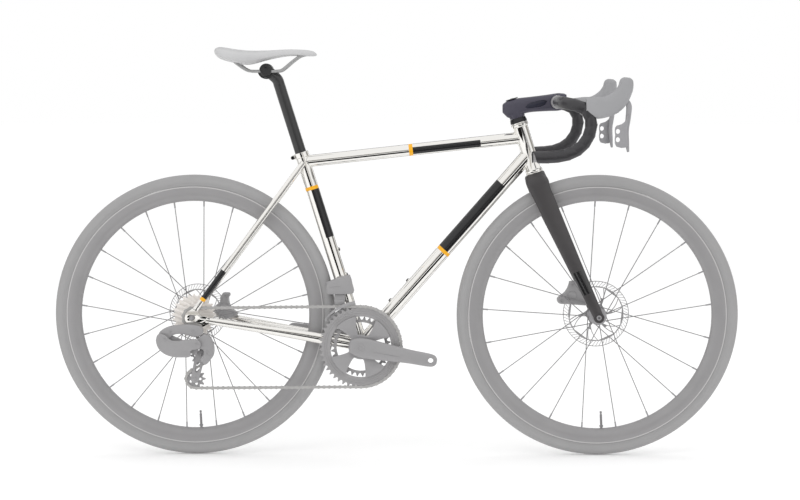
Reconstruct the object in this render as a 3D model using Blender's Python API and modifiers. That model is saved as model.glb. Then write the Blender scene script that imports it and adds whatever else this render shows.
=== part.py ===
"""A road bicycle with round steel tubes, disc brakes and a double chainring, modelled as separate parts.

Metres, +Z up, +X forward, +Y to the rider's left. The origin is on the floor, midway between the axles.
Sizes are set here by name. What fits together takes its size and place from the same names.
"""

import math

import bmesh
import bpy
from mathutils import Matrix, Vector

# --- Driving dimensions -------------------------------------------------------------------------

GAP = 0.0003  # between pieces that touch
RUNNING_GAP = 0.0004  # round a turning shaft

# Frame geometry
WHEELBASE = 0.970
CHAINSTAY_LENGTH = 0.408
BB_DROP = 0.072
SEAT_ANGLE = math.radians(72.6)
SEAT_TUBE_LENGTH = 0.4865
HEAD_ANGLE = math.radians(72.64)
HEAD_TUBE_LENGTH = 0.120
FORK_LENGTH = 0.372  # from the front axle to the crown race, along the steering axis
FORK_RAKE = 0.043
TOP_TUBE_BELOW_SEAT_TOP = 0.0235
TOP_TUBE_BELOW_HEAD_TOP = 0.034
DOWN_TUBE_ABOVE_HEAD_LOW = 0.044
STAY_BELOW_SEAT_TOP = 0.0255

# Tube radii
HEAD_TUBE_RADIUS = 0.0180
HEAD_TUBE_LIP_RADIUS = 0.0205
TOP_TUBE_RADIUS = 0.0143
DOWN_TUBE_RADIUS = 0.0175
SEAT_TUBE_RADIUS = 0.0159
SEAT_TUBE_WALL = 0.0020
BB_SHELL_RADIUS = 0.0200
BB_SHELL_WIDTH = 0.068
BB_CUP_RADIUS = 0.0220
BB_CUP_WIDTH = 0.0105
STEERER_RADIUS = 0.0143
SEATPOST_RADIUS = SEAT_TUBE_RADIUS - SEAT_TUBE_WALL - GAP  # a slip fit in the seat tube
THRU_AXLE_RADIUS = 0.0060
AXLE_HEAD_RADIUS = 0.0095
AXLE_HEAD = 0.005
FORK_BOSS = 0.0135  # how far a fork end's boss reaches outward from the hub
SPINDLE_RADIUS = 0.0120

# Wheels and brakes
TYRE_RADIUS = 0.339
TYRE_WIDTH = 0.028
RIM_RADIUS = 0.311
RIM_DEPTH = 0.036
RIM_WIDTH = 0.0250
WHEEL_STEPS = 36
HUB_STEPS = 12
SPOKE_RADIUS = 0.0010
FRONT_SPOKE_GROUPS = 7
REAR_SPOKES_A_SIDE = 12
FRONT_HUB_SPACING = 0.100
REAR_HUB_SPACING = 0.142
ROTOR_INBOARD = 0.0153  # from the dropout's inner face to the rotor
FRONT_ROTOR_RADIUS = 0.080
REAR_ROTOR_RADIUS = 0.070
ROTOR_THICKNESS = 0.0018
PAD_CLEARANCE = 0.0005
DROPOUT_THICKNESS = 0.006

# Drivetrain
CHAIN_PITCH = 0.0127
BIG_RING_TEETH = 48
SMALL_RING_TEETH = 34
COG_TEETH = (11, 12, 13, 14, 15, 16, 17, 19, 21, 23, 25)
COG_PITCH = 0.0037
COG_THICKNESS = 0.0016
FREEHUB_RADIUS = 0.0140
RING_THICKNESS = 0.0018
PULLEY_TEETH = 11
BIG_RING_Y = -0.0470
SMALL_RING_Y = -0.0400
OUTER_COG_Y = -0.0635
CRANK_LENGTH = 0.170
CRANK_ANGLE = math.radians(-10.2)
CRANK_END_RADIUS = 0.016
CHAIN_INNER = 0.0012  # from the chain's middle to its inner plates
PLATE_THICKNESS = 0.00075
PLATE_HALF_HEIGHT = 0.0042
PLATE_WAIST = 0.0030
ROLLER_RADIUS = 0.0033

# Cockpit and saddle
STEM_LENGTH = 0.101
STEM_RISE = 0.015
BAR_CLAMP_RADIUS = 0.0159
BAR_RADIUS = 0.0115
BAR_WIDTH = 0.420
TAPE_THICKNESS = 0.0020
TAPE_GAP = 0.0007  # between one turn and the next
TAPE_TURNS = 16
SADDLE_LENGTH = 0.245
SADDLE_WIDTH = 0.145
RAIL_RADIUS = 0.0035
RAIL_SPACING = 0.044

# --- Reference points ---------------------------------------------------------------------------

SEAT_UP = Vector((-math.cos(SEAT_ANGLE), 0, math.sin(SEAT_ANGLE)))
HEAD_UP = Vector((-math.cos(HEAD_ANGLE), 0, math.sin(HEAD_ANGLE)))
HEAD_FRONT = Vector((math.sin(HEAD_ANGLE), 0, math.cos(HEAD_ANGLE)))
LEFT = Vector((0, 1, 0))
UP = Vector((0, 0, 1))
FORWARD = Vector((1, 0, 0))

BEARING_COVER = 0.004
HEADSET_COVER_HEIGHT = 0.011

REAR_AXLE = Vector((-WHEELBASE / 2, 0, TYRE_RADIUS))
FRONT_AXLE = Vector((WHEELBASE / 2, 0, TYRE_RADIUS))
BB = REAR_AXLE + Vector((math.sqrt(CHAINSTAY_LENGTH**2 - BB_DROP**2), 0, -BB_DROP))
SEAT_TOP = BB + SEAT_UP * SEAT_TUBE_LENGTH
CROWN = FRONT_AXLE - HEAD_FRONT * FORK_RAKE + HEAD_UP * FORK_LENGTH
HEAD_LOW = CROWN + HEAD_UP * BEARING_COVER
HEAD_TOP = HEAD_LOW + HEAD_UP * HEAD_TUBE_LENGTH
STEM_FOOT = HEAD_TOP + HEAD_UP * (BEARING_COVER + HEADSET_COVER_HEIGHT)
REAR_INNER = REAR_HUB_SPACING / 2
FRONT_INNER = FRONT_HUB_SPACING / 2

# --- Scene --------------------------------------------------------------------------------------

for old in list(bpy.data.objects):
    bpy.data.objects.remove(old, do_unlink=True)

PARTS = bpy.data.collections.new("road_bicycle")
CUTTERS = bpy.data.collections.new("cutters")
for group in (PARTS, CUTTERS):
    bpy.context.scene.collection.children.link(group)


def material(name, colour, roughness, metallic=0.0):
    made = bpy.data.materials.new(name)
    made.use_nodes = True
    shader = made.node_tree.nodes["Principled BSDF"]
    shader.inputs["Base Color"].default_value = (*colour, 1)
    shader.inputs["Roughness"].default_value = roughness
    shader.inputs["Metallic"].default_value = metallic
    made.diffuse_color = (*colour, 1)
    return made


POLISHED = material("polished_steel", (0.78, 0.76, 0.72), 0.10, 1.0)
CARBON = material("black_carbon", (0.035, 0.034, 0.036), 0.35)
STEM_BLACK = material("stem_black", (0.050, 0.050, 0.070), 0.40)
TAPE = material("bar_tape", (0.030, 0.030, 0.034), 0.75)
TYRE = material("tyre_grey", (0.34, 0.33, 0.33), 0.80)
RIM = material("rim_grey", (0.28, 0.28, 0.28), 0.50)
GREY = material("component_grey", (0.31, 0.30, 0.31), 0.45)
GREY_METAL = material("grey_metal", (0.45, 0.44, 0.43), 0.35, 0.8)
PALE_METAL = material("cassette_pale", (0.74, 0.70, 0.65), 0.35, 0.6)
CHAIN_METAL = material("chain_grey", (0.42, 0.41, 0.39), 0.40, 0.7)
SADDLE_GREY = material("saddle_grey", (0.54, 0.54, 0.55), 0.70)
DARK = material("bearing_black", (0.020, 0.020, 0.022), 0.40)


# --- Modelling helpers --------------------------------------------------------------------------


def put(name, mesh, collection=PARTS):
    obj = bpy.data.objects.new(name, mesh)
    collection.objects.link(obj)
    return obj


def baked(obj):
    """The object with its modifiers or its curve turned into a plain mesh."""
    graph = bpy.context.evaluated_depsgraph_get()
    mesh = bpy.data.meshes.new_from_object(obj.evaluated_get(graph))
    shape = bmesh.new()
    shape.from_mesh(mesh)
    bmesh.ops.remove_doubles(shape, verts=shape.verts, dist=2e-6)
    shape.to_mesh(mesh)
    shape.free()
    name, place = obj.name, obj.matrix_world.copy()
    bpy.data.objects.remove(obj, do_unlink=True)
    made = put(name, mesh)
    made.matrix_world = place
    return made


def combine(obj, other, operation):
    """The Boolean of two objects. The second one is used up."""
    step = obj.modifiers.new(operation.lower(), "BOOLEAN")
    step.operation = operation
    step.object = other
    bpy.context.view_layer.update()
    made = baked(obj)
    bpy.data.objects.remove(other, do_unlink=True)
    return made


def cut(obj, *cutters):
    for cutter in cutters:
        obj = combine(obj, cutter, "DIFFERENCE")
    return obj


def fuse(obj, *others):
    for other in others:
        obj = combine(obj, other, "UNION")
    return obj


def turned(name, profile, base, axis, steps=18, bored=False):
    """A turned piece. Its profile of (radius, height) runs down the outer side, and a bored one closes."""
    mesh = bpy.data.meshes.new(name)
    points = [(radius, 0, height) for radius, height in profile]
    edges = [(i, i + 1) for i in range(len(points) - 1)]
    if bored:
        edges.append((len(points) - 1, 0))
    mesh.from_pydata(points, edges, [])
    obj = put(name, mesh)
    screw = obj.modifiers.new("turn", "SCREW")
    screw.steps = screw.render_steps = steps
    screw.use_merge_vertices = True
    screw.merge_threshold = 1e-5
    obj.location = base
    obj.rotation_mode = "QUATERNION"
    obj.rotation_quaternion = Vector(axis).to_track_quat("Z", "Y")
    bpy.context.view_layer.update()
    return baked(obj)


def round_hole(radius, steps):
    """The corner radius of a hole of flat facets that stays clear of this radius."""
    return radius / math.cos(math.pi / steps)


def cylinder(name, start, end, radius, steps=18, bore=0.0):
    length = (end - start).length
    if bore:
        bore = round_hole(bore, steps)
        profile = [(radius, length), (radius, 0), (bore, 0), (bore, length)]
        return turned(name, profile, start, end - start, steps, bored=True)
    profile = [(0, length), (radius, length), (radius, 0), (0, 0)]
    return turned(name, profile, start, end - start, steps)


def plate(name, outlines, middle, thickness):
    """A flat piece across Y. Each outline is a list of (x, z) points, and inner ones are holes."""
    curve = bpy.data.curves.new(name, "CURVE")
    curve.dimensions = "2D"
    curve.fill_mode = "BOTH"
    curve.extrude = thickness / 2
    for outline in outlines:
        spline = curve.splines.new("POLY")
        spline.points.add(len(outline) - 1)
        for point, (x, z) in zip(spline.points, outline):
            point.co = (x, z, 0, 1)
        spline.use_cyclic_u = True
    obj = put(name, curve)
    obj.location = (0, middle, 0)
    obj.rotation_euler = (math.pi / 2, 0, 0)
    bpy.context.view_layer.update()
    return baked(obj)


def box(name, low, high, bevel=0.0, turn=0.0, middle=None):
    """A block between two corners, turned about Y through its middle, with bevelled edges."""
    shape = bmesh.new()
    low, high = Vector(low), Vector(high)
    bmesh.ops.create_cube(shape, size=1, matrix=Matrix.Diagonal((*(high - low), 1)))
    mesh = bpy.data.meshes.new(name)
    shape.to_mesh(mesh)
    shape.free()
    obj = put(name, mesh)
    obj.location = (low + high) / 2 if middle is None else middle
    obj.rotation_euler = (0, turn, 0)
    if bevel:
        rounding = obj.modifiers.new("round", "BEVEL")
        rounding.width = bevel
        rounding.segments = 1
    bpy.context.view_layer.update()
    return baked(obj)


def oval(centre, along, wide, width, height, sides=12, square=1.0):
    """A ring of points round a centre, across a direction. wide is the width's own direction."""
    along = Vector(along).normalized()
    wide = (Vector(wide) - along * along.dot(Vector(wide))).normalized()
    high = along.cross(wide)
    ring = []
    for i in range(sides):
        turn = 2 * math.pi * (i + 0.5) / sides
        across, over = math.cos(turn), math.sin(turn)
        across = math.copysign(abs(across) ** square, across)
        over = math.copysign(abs(over) ** square, over)
        ring.append(Vector(centre) + wide * across * width / 2 + high * over * height / 2)
    return ring


def loft(name, rings, closed_start=True, closed_end=True):
    """A skin over rings that have the same number of points."""
    shape = bmesh.new()
    rows = [[shape.verts.new(point) for point in ring] for ring in rings]
    count = len(rows[0])
    for row, following in zip(rows, rows[1:]):
        for i in range(count):
            j = (i + 1) % count
            shape.faces.new((row[i], row[j], following[j], following[i]))
    if closed_start:
        shape.faces.new(rows[0][::-1])
    if closed_end:
        shape.faces.new(rows[-1])
    bmesh.ops.recalc_face_normals(shape, faces=shape.faces)
    mesh = bpy.data.meshes.new(name)
    shape.to_mesh(mesh)
    shape.free()
    return put(name, mesh)


def mirrored_half(obj):
    """A half that is open at the middle plane, made whole across it."""
    mirror = obj.modifiers.new("mirror", "MIRROR")
    mirror.use_axis = (False, True, False)
    mirror.merge_threshold = 1e-5
    bpy.context.view_layer.update()
    return baked(obj)


def flipped(point, side):
    return Vector((point[0], point[1] * side, point[2]))


def smooth_line(points, count):
    """Evenly spread points on a smooth curve through the given ones."""
    knots = [Vector(p) for p in points]
    knots = [2 * knots[0] - knots[1]] + knots + [2 * knots[-1] - knots[-2]]
    fine = []
    for a, b, c, d in zip(knots, knots[1:], knots[2:], knots[3:]):
        for i in range(24):
            t = i / 24
            square, cube = 2 * a - 5 * b + 4 * c - d, 3 * b - a - 3 * c + d
            fine.append((2 * b + (c - a) * t + square * t**2 + cube * t**3) / 2)
    fine.append(knots[-2])
    run = [0.0]
    for a, b in zip(fine, fine[1:]):
        run.append(run[-1] + (b - a).length)
    spread, at = [], 0
    for i in range(count):
        goal = run[-1] * i / (count - 1)
        while at < len(run) - 2 and run[at + 1] < goal:
            at += 1
        share = (goal - run[at]) / (run[at + 1] - run[at])
        spread.append(fine[at].lerp(fine[at + 1], share))
    return spread


def swept_rings(points, radii, sides=8, wide=UP):
    """Rings across a line of points, each turned as little as possible from the one before."""
    rings = []
    for i, (point, r) in enumerate(zip(points, radii)):
        along = (points[min(i + 1, len(points) - 1)] - points[max(i - 1, 0)]).normalized()
        wide = (wide - along * along.dot(wide)).normalized()
        rings.append(oval(point, along, wide, 2 * r, 2 * r, sides))
    return rings


def swept(name, points, radius, sides=8, wide=UP):
    return loft(name, swept_rings(points, [radius] * len(points), sides, wide))


def joint(name, place):
    """An empty on a joint's axis. The pieces that move with it are parented to it."""
    empty = bpy.data.objects.new(name, None)
    empty.empty_display_size = 0.02
    empty.location = place
    PARTS.objects.link(empty)
    return empty


def done(obj, finish, parent=None, sharp=math.radians(35)):
    """Gives a finished piece its material, smooth shading and joint."""
    obj.data.name = obj.name
    obj.data.materials.clear()
    obj.data.materials.append(finish)
    if obj.data.materials:
        obj.data.polygons.foreach_set("material_index", [0] * len(obj.data.polygons))
    obj.data.shade_smooth()
    obj.data.set_sharp_from_angle(angle=sharp)
    if parent:
        bpy.context.view_layer.update()
        obj.parent = parent
        obj.matrix_parent_inverse = parent.matrix_world.inverted()
    return obj


# --- Joints -------------------------------------------------------------------------------------

CLAMP_CENTRE = SEAT_TOP + Vector((-0.0809, 0, 0.1959))
STEERING = joint("steering", CROWN)
FRONT_SPIN = joint("front_wheel_spin", FRONT_AXLE)
REAR_SPIN = joint("rear_wheel_spin", REAR_AXLE)
CRANK_SPIN = joint("crank_spin", BB)
FRONT_SPIN.parent = STEERING
FRONT_SPIN.matrix_parent_inverse = Matrix.Translation(-CROWN)
SEAT_HEIGHT = joint("seatpost_height", SEAT_TOP)
SADDLE_TILT = joint("saddle_tilt", CLAMP_CENTRE)
SADDLE_TILT.parent = SEAT_HEIGHT
SADDLE_TILT.matrix_parent_inverse = Matrix.Translation(-SEAT_TOP)

# --- Frame --------------------------------------------------------------------------------------

COLLAR_TOP, COLLAR_LOW = 0.001, 0.013  # below the seat tube's top
COLLAR_RADIUS = SEAT_TUBE_RADIUS + 0.0022


def seat_tube_cutter():
    """Clears the seat tube and the collar round its top."""
    tube, collar = round_hole(SEAT_TUBE_RADIUS + GAP, 18), round_hole(COLLAR_RADIUS + GAP, 18)
    low = SEAT_TUBE_LENGTH - COLLAR_LOW - GAP
    top = SEAT_TUBE_LENGTH + 0.05
    profile = [(0, top), (collar, top), (collar, low), (tube, low), (tube, -0.05), (0, -0.05)]
    return turned("cutter", profile, BB, SEAT_UP)


def shell_profile(extra, bore):
    half = BB_SHELL_WIDTH / 2
    end = half + BB_CUP_WIDTH
    profile = [
        (BB_CUP_RADIUS + extra, end + extra),
        (BB_CUP_RADIUS + extra, half - extra),
        (BB_SHELL_RADIUS + extra, half - extra),
        (BB_SHELL_RADIUS + extra, -half + extra),
        (BB_CUP_RADIUS + extra, -half + extra),
        (BB_CUP_RADIUS + extra, -end - extra),
    ]
    if bore:
        return profile + [(bore, -end), (bore, end)]
    return [(0, end + extra)] + profile + [(0, -end - extra)]


def shell_cutter():
    extra = round_hole(BB_CUP_RADIUS, 16) - BB_CUP_RADIUS + GAP
    return turned("cutter", shell_profile(extra, 0), BB, LEFT, 16)


def head_tube_cutter():
    radius = round_hole(HEAD_TUBE_RADIUS + GAP, 18)
    return cylinder("cutter", HEAD_LOW - HEAD_UP * 0.03, HEAD_TOP + HEAD_UP * 0.03, radius)


def main_tubes():
    lip = 0.008
    bore = round_hole(STEERER_RADIUS + 0.0012, 18)
    length = HEAD_TUBE_LENGTH
    profile = [
        (HEAD_TUBE_LIP_RADIUS, length),
        (HEAD_TUBE_LIP_RADIUS, length - lip * 0.6),
        (HEAD_TUBE_RADIUS, length - lip),
        (HEAD_TUBE_RADIUS, lip),
        (HEAD_TUBE_LIP_RADIUS, lip * 0.6),
        (HEAD_TUBE_LIP_RADIUS, 0),
        (bore, 0),
        (bore, length),
    ]
    done(turned("head_tube", profile, HEAD_LOW, HEAD_UP, bored=True), POLISHED)
    start = SEAT_TOP - SEAT_UP * TOP_TUBE_BELOW_SEAT_TOP
    end = HEAD_TOP - HEAD_UP * TOP_TUBE_BELOW_HEAD_TOP
    top = cylinder("top_tube", start, end, TOP_TUBE_RADIUS)
    done(cut(top, seat_tube_cutter(), head_tube_cutter()), POLISHED)
    end = HEAD_LOW + HEAD_UP * DOWN_TUBE_ABOVE_HEAD_LOW
    down = cylinder("down_tube", BB.copy(), end, DOWN_TUBE_RADIUS)
    done(cut(down, shell_cutter(), seat_tube_cutter(), head_tube_cutter()), POLISHED)
    bore = SEAT_TUBE_RADIUS - SEAT_TUBE_WALL
    seat = cylinder("seat_tube", BB.copy(), SEAT_TOP, SEAT_TUBE_RADIUS, bore=bore)
    seat = cut(seat, shell_cutter())
    collar_low, collar_top = SEAT_TOP - SEAT_UP * COLLAR_LOW, SEAT_TOP - SEAT_UP * COLLAR_TOP
    collar = cylinder("collar", collar_low, collar_top, COLLAR_RADIUS, bore=bore + 0.0005)
    done(fuse(seat, collar), POLISHED)
    bore = round_hole(SPINDLE_RADIUS + RUNNING_GAP, 16)
    shell = turned("bottom_bracket_shell", shell_profile(0, bore), BB, LEFT, 16, bored=True)
    done(shell, POLISHED)


DROPOUT_RADIUS = 0.017
STAY_LOW = REAR_AXLE + Vector((0.0075, 0, 0.0185))
HANGER = REAR_AXLE + Vector((0.006, 0, -0.029))


def dropout_outline(right):
    """Round the axle, with a tab up to the seatstay and, on the right, a hanger below."""
    seat_dir = (SEAT_TOP - STAY_LOW).normalized()
    across = Vector((seat_dir.z, 0, -seat_dir.x))
    tab_front = STAY_LOW + across * 0.008
    tab_rear = STAY_LOW - across * 0.008
    start, end = math.radians(150), math.radians(300)
    points = [(tab_rear.x, tab_rear.z)]
    for i in range(7):
        turn = start + (end - start) * i / 6
        points.append(
            (REAR_AXLE.x + DROPOUT_RADIUS * math.cos(turn), REAR_AXLE.z + DROPOUT_RADIUS * math.sin(turn))
        )
        if right and i == 4:
            points += [(HANGER.x - 0.011, HANGER.z + 0.002), (HANGER.x - 0.006, HANGER.z - 0.008)]
            points += [(HANGER.x + 0.006, HANGER.z - 0.008), (HANGER.x + 0.011, HANGER.z + 0.002)]
            break
    points.append((REAR_AXLE.x + 0.040, REAR_AXLE.z - 0.016))
    points.append((REAR_AXLE.x + 0.043, REAR_AXLE.z + 0.001))
    points.append((tab_front.x + 0.004, tab_front.z - 0.004))
    points.append((tab_front.x, tab_front.z))
    return points


# Along one chainstay: distance from the shell's middle, then out from the bicycle's, width and height.
# It is a tall oval at the shell, bends out past the tyre and the rings, and ends slim.
CHAINSTAY_STATIONS = (
    (0.000, 0.0215, 0.014, 0.028),
    (0.060, 0.0240, 0.013, 0.027),
    (0.130, 0.0275, 0.012, 0.025),
    (0.220, 0.0400, 0.014, 0.022),
    (0.310, 0.0600, 0.014, 0.019),
    (CHAINSTAY_LENGTH - 0.033, REAR_INNER + DROPOUT_THICKNESS / 2 - 0.0005, 0.011, 0.016),
)


def chainstay(name, side, extra=0.0):
    line = (REAR_AXLE - BB).normalized()
    centres = [BB + line * run + LEFT * side * y for run, y, _, _ in CHAINSTAY_STATIONS]
    rings = []
    for i, (_, _, width, height) in enumerate(CHAINSTAY_STATIONS):
        along = centres[min(i + 1, 5)] - centres[max(i - 1, 0)]
        rings.append(oval(centres[i], along, LEFT, width + 2 * extra, height + 2 * extra, 8))
    return loft(name, rings)


def rear_triangle():
    middle = REAR_INNER + DROPOUT_THICKNESS / 2
    for name, side in (("left", 1), ("right", -1)):
        stay = chainstay("chainstay_" + name, side)
        tip = plate("dropout", [dropout_outline(side < 0)], middle * side, DROPOUT_THICKNESS)
        hole = cylinder(
            "cutter", REAR_AXLE - LEFT * 0.1, REAR_AXLE + LEFT * 0.1, THRU_AXLE_RADIUS + GAP, 12
        )
        done(cut(fuse(stay, tip), shell_cutter(), seat_tube_cutter(), hole), POLISHED)
        top = SEAT_TOP - SEAT_UP * STAY_BELOW_SEAT_TOP
        low_end = STAY_LOW + LEFT * middle * side
        high_end = top + LEFT * side * (SEAT_TUBE_RADIUS + 0.0005)
        flat = (SEAT_TOP - STAY_LOW).normalized()
        low_end = low_end + flat * GAP
        points = [low_end, low_end.lerp(high_end, 0.10), low_end.lerp(high_end, 0.55), high_end]
        radii = (0.0055, 0.0068, 0.0080, 0.0070)
        rings = [oval(points[0], flat, LEFT, 0.0055, 0.014, 8)]
        for point, r in zip(points[1:], radii[1:]):
            rings.append(oval(point, high_end - low_end, LEFT, 2 * r, 2 * r, 8))
        stay = loft("seatstay_" + name, rings)
        done(cut(stay, seat_tube_cutter()), POLISHED)


def headset():
    inner = round_hole(STEERER_RADIUS + GAP, 14)
    for name, foot in (("lower", CROWN), ("upper", HEAD_TOP)):
        ring = cylinder(
            f"headset_{name}_bearing", foot + HEAD_UP * GAP, foot + HEAD_UP * (BEARING_COVER - GAP),
            HEAD_TUBE_LIP_RADIUS - 0.0003, 14, STEERER_RADIUS + GAP,
        )
        done(ring, DARK)
    foot = HEAD_TOP + HEAD_UP * BEARING_COVER
    top = HEADSET_COVER_HEIGHT - GAP
    profile = [(0.0185, top), (0.0203, 0.0), (inner, 0.0), (inner, top)]
    done(turned("headset_cover", profile, foot, HEAD_UP, 14, bored=True), DARK, STEERING)


def rear_axle():
    reach = REAR_INNER + DROPOUT_THICKNESS
    rod = cylinder(
        "rear_thru_axle", REAR_AXLE - LEFT * (reach + 0.001), REAR_AXLE + LEFT * (reach + 0.002),
        THRU_AXLE_RADIUS, 12,
    )
    head = cylinder(
        "head", REAR_AXLE + LEFT * (reach + GAP), REAR_AXLE + LEFT * (reach + AXLE_HEAD), AXLE_HEAD_RADIUS, 12
    )
    done(fuse(rod, head), GREY_METAL)


main_tubes()
rear_triangle()
headset()
rear_axle()

# --- Fork ---------------------------------------------------------------------------------------

# Down one blade: distance below the crown race, half spacing, thickness and fore-and-aft width.
FORK_STATIONS = (
    (0.013, 0.000, 0.026, 0.046),
    (0.014, 0.018, 0.026, 0.048),
    (0.024, 0.0285, 0.020, 0.050),
    (0.045, 0.0320, 0.017, 0.049),
    (0.095, 0.0375, 0.016, 0.045),
    (0.175, 0.0470, 0.015, 0.038),
    (0.260, 0.0535, 0.014, 0.031),
    (0.330, 0.0570, 0.013, 0.027),
)
FORK_STRAIGHT_FROM = 0.040  # below here the blades lean forward to reach the axle


def fork_centre(below):
    """The blade's centre line seen from the side: down the steering axis, then straight to the axle."""
    top = CROWN - HEAD_UP * FORK_STRAIGHT_FROM
    if below <= FORK_STRAIGHT_FROM:
        return CROWN - HEAD_UP * below
    share = (below - FORK_STRAIGHT_FROM) / (FORK_LENGTH - FORK_STRAIGHT_FROM)
    return top.lerp(FRONT_AXLE, share)


def fork_blades(extra=0.0):
    rings = []
    for i, (below, out, thick, wide) in enumerate(FORK_STATIONS):
        centre = fork_centre(below) + LEFT * out
        here = FORK_STATIONS[max(i - 1, 0)], FORK_STATIONS[min(i + 1, len(FORK_STATIONS) - 1)]
        along = fork_centre(here[1][0]) - fork_centre(here[0][0]) + LEFT * (here[1][1] - here[0][1])
        if i == 0:
            along = LEFT
        rings.append(oval(centre, along, FORWARD, wide + 2 * extra, thick + 2 * extra, 10))
    last = FORK_STATIONS[-1]
    rings.append(
        oval(FRONT_AXLE + LEFT * last[1] - UP * 0.004, -UP, FORWARD, 0.025, last[2], 10)
    )
    return mirrored_half(loft("fork", rings, closed_start=False))


def fork():
    made = fork_blades()
    race = turned(
        "race",
        [(0, -GAP), (HEAD_TUBE_LIP_RADIUS, -GAP), (0.0225, -0.016), (0, -0.016)],
        CROWN, HEAD_UP, 16,
    )
    steerer = cylinder("steerer", CROWN - HEAD_UP * 0.005, STEM_FOOT + HEAD_UP * 0.036, STEERER_RADIUS, 16)
    made = fuse(made, race, steerer)
    for side in (1, -1):
        boss = cylinder(
            "boss", FRONT_AXLE + LEFT * side * FRONT_INNER, FRONT_AXLE + LEFT * side * (FRONT_INNER + FORK_BOSS),
            0.0128, 12,
        )
        made = fuse(made, boss)
    hole = cylinder("cutter", FRONT_AXLE - LEFT * 0.1, FRONT_AXLE + LEFT * 0.1, THRU_AXLE_RADIUS + GAP, 12)
    done(cut(made, hole), CARBON, STEERING)
    reach = FRONT_INNER + FORK_BOSS
    rod = cylinder(
        "front_thru_axle", FRONT_AXLE - LEFT * (reach + 0.001), FRONT_AXLE + LEFT * (reach + 0.002),
        THRU_AXLE_RADIUS, 12,
    )
    head = cylinder(
        "head", FRONT_AXLE + LEFT * (reach + GAP), FRONT_AXLE + LEFT * (reach + AXLE_HEAD), AXLE_HEAD_RADIUS, 12
    )
    done(fuse(rod, head), GREY_METAL, STEERING)


fork()

# --- Wheels -------------------------------------------------------------------------------------


def tyre_and_rim(prefix, axle, spin):
    half = RIM_WIDTH / 2
    inner = RIM_RADIUS - RIM_DEPTH
    rim = [
        (RIM_RADIUS, half), (RIM_RADIUS, -half), (RIM_RADIUS - 0.018, -half - 0.0004),
        (inner, 0), (RIM_RADIUS - 0.018, half + 0.0004),
    ]
    done(turned(prefix + "_rim", rim, axle, LEFT, WHEEL_STEPS, bored=True), RIM, spin)
    seat = RIM_RADIUS + GAP
    wide = TYRE_WIDTH / 2
    tall = TYRE_RADIUS - RIM_RADIUS
    tyre = [
        (TYRE_RADIUS, wide * 0.36), (TYRE_RADIUS, -wide * 0.36), (TYRE_RADIUS - tall * 0.48, -wide),
        (seat, -wide * 0.78), (seat, wide * 0.78), (TYRE_RADIUS - tall * 0.48, wide),
    ]
    done(turned(prefix + "_tyre", tyre, axle, LEFT, WHEEL_STEPS, bored=True), TYRE, spin)


def spokes(axle, runs):
    """Thin rods in one mesh. Each run is (hub radius, hub angle, hub y, rim angle)."""
    reach = (RIM_RADIUS - RIM_DEPTH) * math.cos(math.pi / WHEEL_STEPS) - GAP
    shape = bmesh.new()
    for hub_radius, hub_turn, hub_y, rim_turn in runs:
        start = axle + Vector((hub_radius * math.cos(hub_turn), hub_y, hub_radius * math.sin(hub_turn)))
        end = axle + Vector((reach * math.cos(rim_turn), hub_y * 0.03, reach * math.sin(rim_turn)))
        turn = (end - start).to_track_quat("Z", "Y").to_matrix().to_4x4()
        bmesh.ops.create_cone(
            shape, cap_ends=True, segments=3, radius1=SPOKE_RADIUS, radius2=SPOKE_RADIUS,
            depth=(end - start).length, matrix=Matrix.Translation((start + end) / 2) @ turn,
        )
    mesh = bpy.data.meshes.new("spokes")
    shape.to_mesh(mesh)
    shape.free()
    return put("spokes", mesh)


def rotor(name, axle, y, radius, hub_radius, spin):
    """A braking ring on curved arms round a hub ring."""
    arms = 6
    band = radius - 0.0135
    outer = [point_on(axle, radius, 2 * math.pi * i / 28) for i in range(28)]
    corner = round_hole(hub_radius, 12)
    holes = [[point_on(axle, corner, 2 * math.pi * i / 12) for i in range(12)]]
    for i in range(arms):
        start = 2 * math.pi * i / arms
        lean = 0.35
        hole = [point_on(axle, band, start + lean + 0.78 * j / 2) for j in range(3)]
        hole += [point_on(axle, hub_radius + 0.007, start + 0.55 - 0.45 * j) for j in range(2)]
        holes.append(hole)
    done(plate(name, [outer] + holes, y, ROTOR_THICKNESS), GREY_METAL, spin)


def point_on(centre, radius, turn):
    return centre.x + radius * math.cos(turn), centre.z + radius * math.sin(turn)


def front_wheel():
    tyre_and_rim("front", FRONT_AXLE, FRONT_SPIN)
    end = FRONT_INNER - GAP
    rotor_y = FRONT_INNER - ROTOR_INBOARD
    left, right = 0.0235, -0.0335
    bore = round_hole(THRU_AXLE_RADIUS + RUNNING_GAP, HUB_STEPS)
    profile = [
        (0.0105, end), (0.0105, rotor_y + 0.006), (0.0172, rotor_y + 0.006), (0.0172, left + 0.004),
        (0.0225, left + 0.002), (0.0225, left - 0.0015), (0.0125, left - 0.006), (0.0125, right + 0.006),
        (0.0205, right + 0.0015), (0.0205, right - 0.0015), (0.0115, right - 0.004), (0.0105, -end),
        (bore, -end), (bore, end),
    ]
    hub = turned("front_hub", profile, FRONT_AXLE, LEFT, HUB_STEPS, bored=True)
    runs = []
    for group in range(FRONT_SPOKE_GROUPS):
        radial = math.radians(-80.1) + 2 * math.pi * group / FRONT_SPOKE_GROUPS
        third = 2 * math.pi / FRONT_SPOKE_GROUPS / 3
        lead = math.radians(62)
        runs.append((0.0185, radial, right, radial))
        runs.append((0.0205, radial + 1.5 * third - lead, left + 0.0012, radial + 2 * third))
        runs.append((0.0205, radial + 1.5 * third + lead, left - 0.0022, radial + third))
    hub = fuse(hub, spokes(FRONT_AXLE, runs))
    done(hub, GREY_METAL, FRONT_SPIN)
    rotor("front_rotor", FRONT_AXLE, rotor_y, FRONT_ROTOR_RADIUS, 0.0172 + GAP, FRONT_SPIN)


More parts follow.
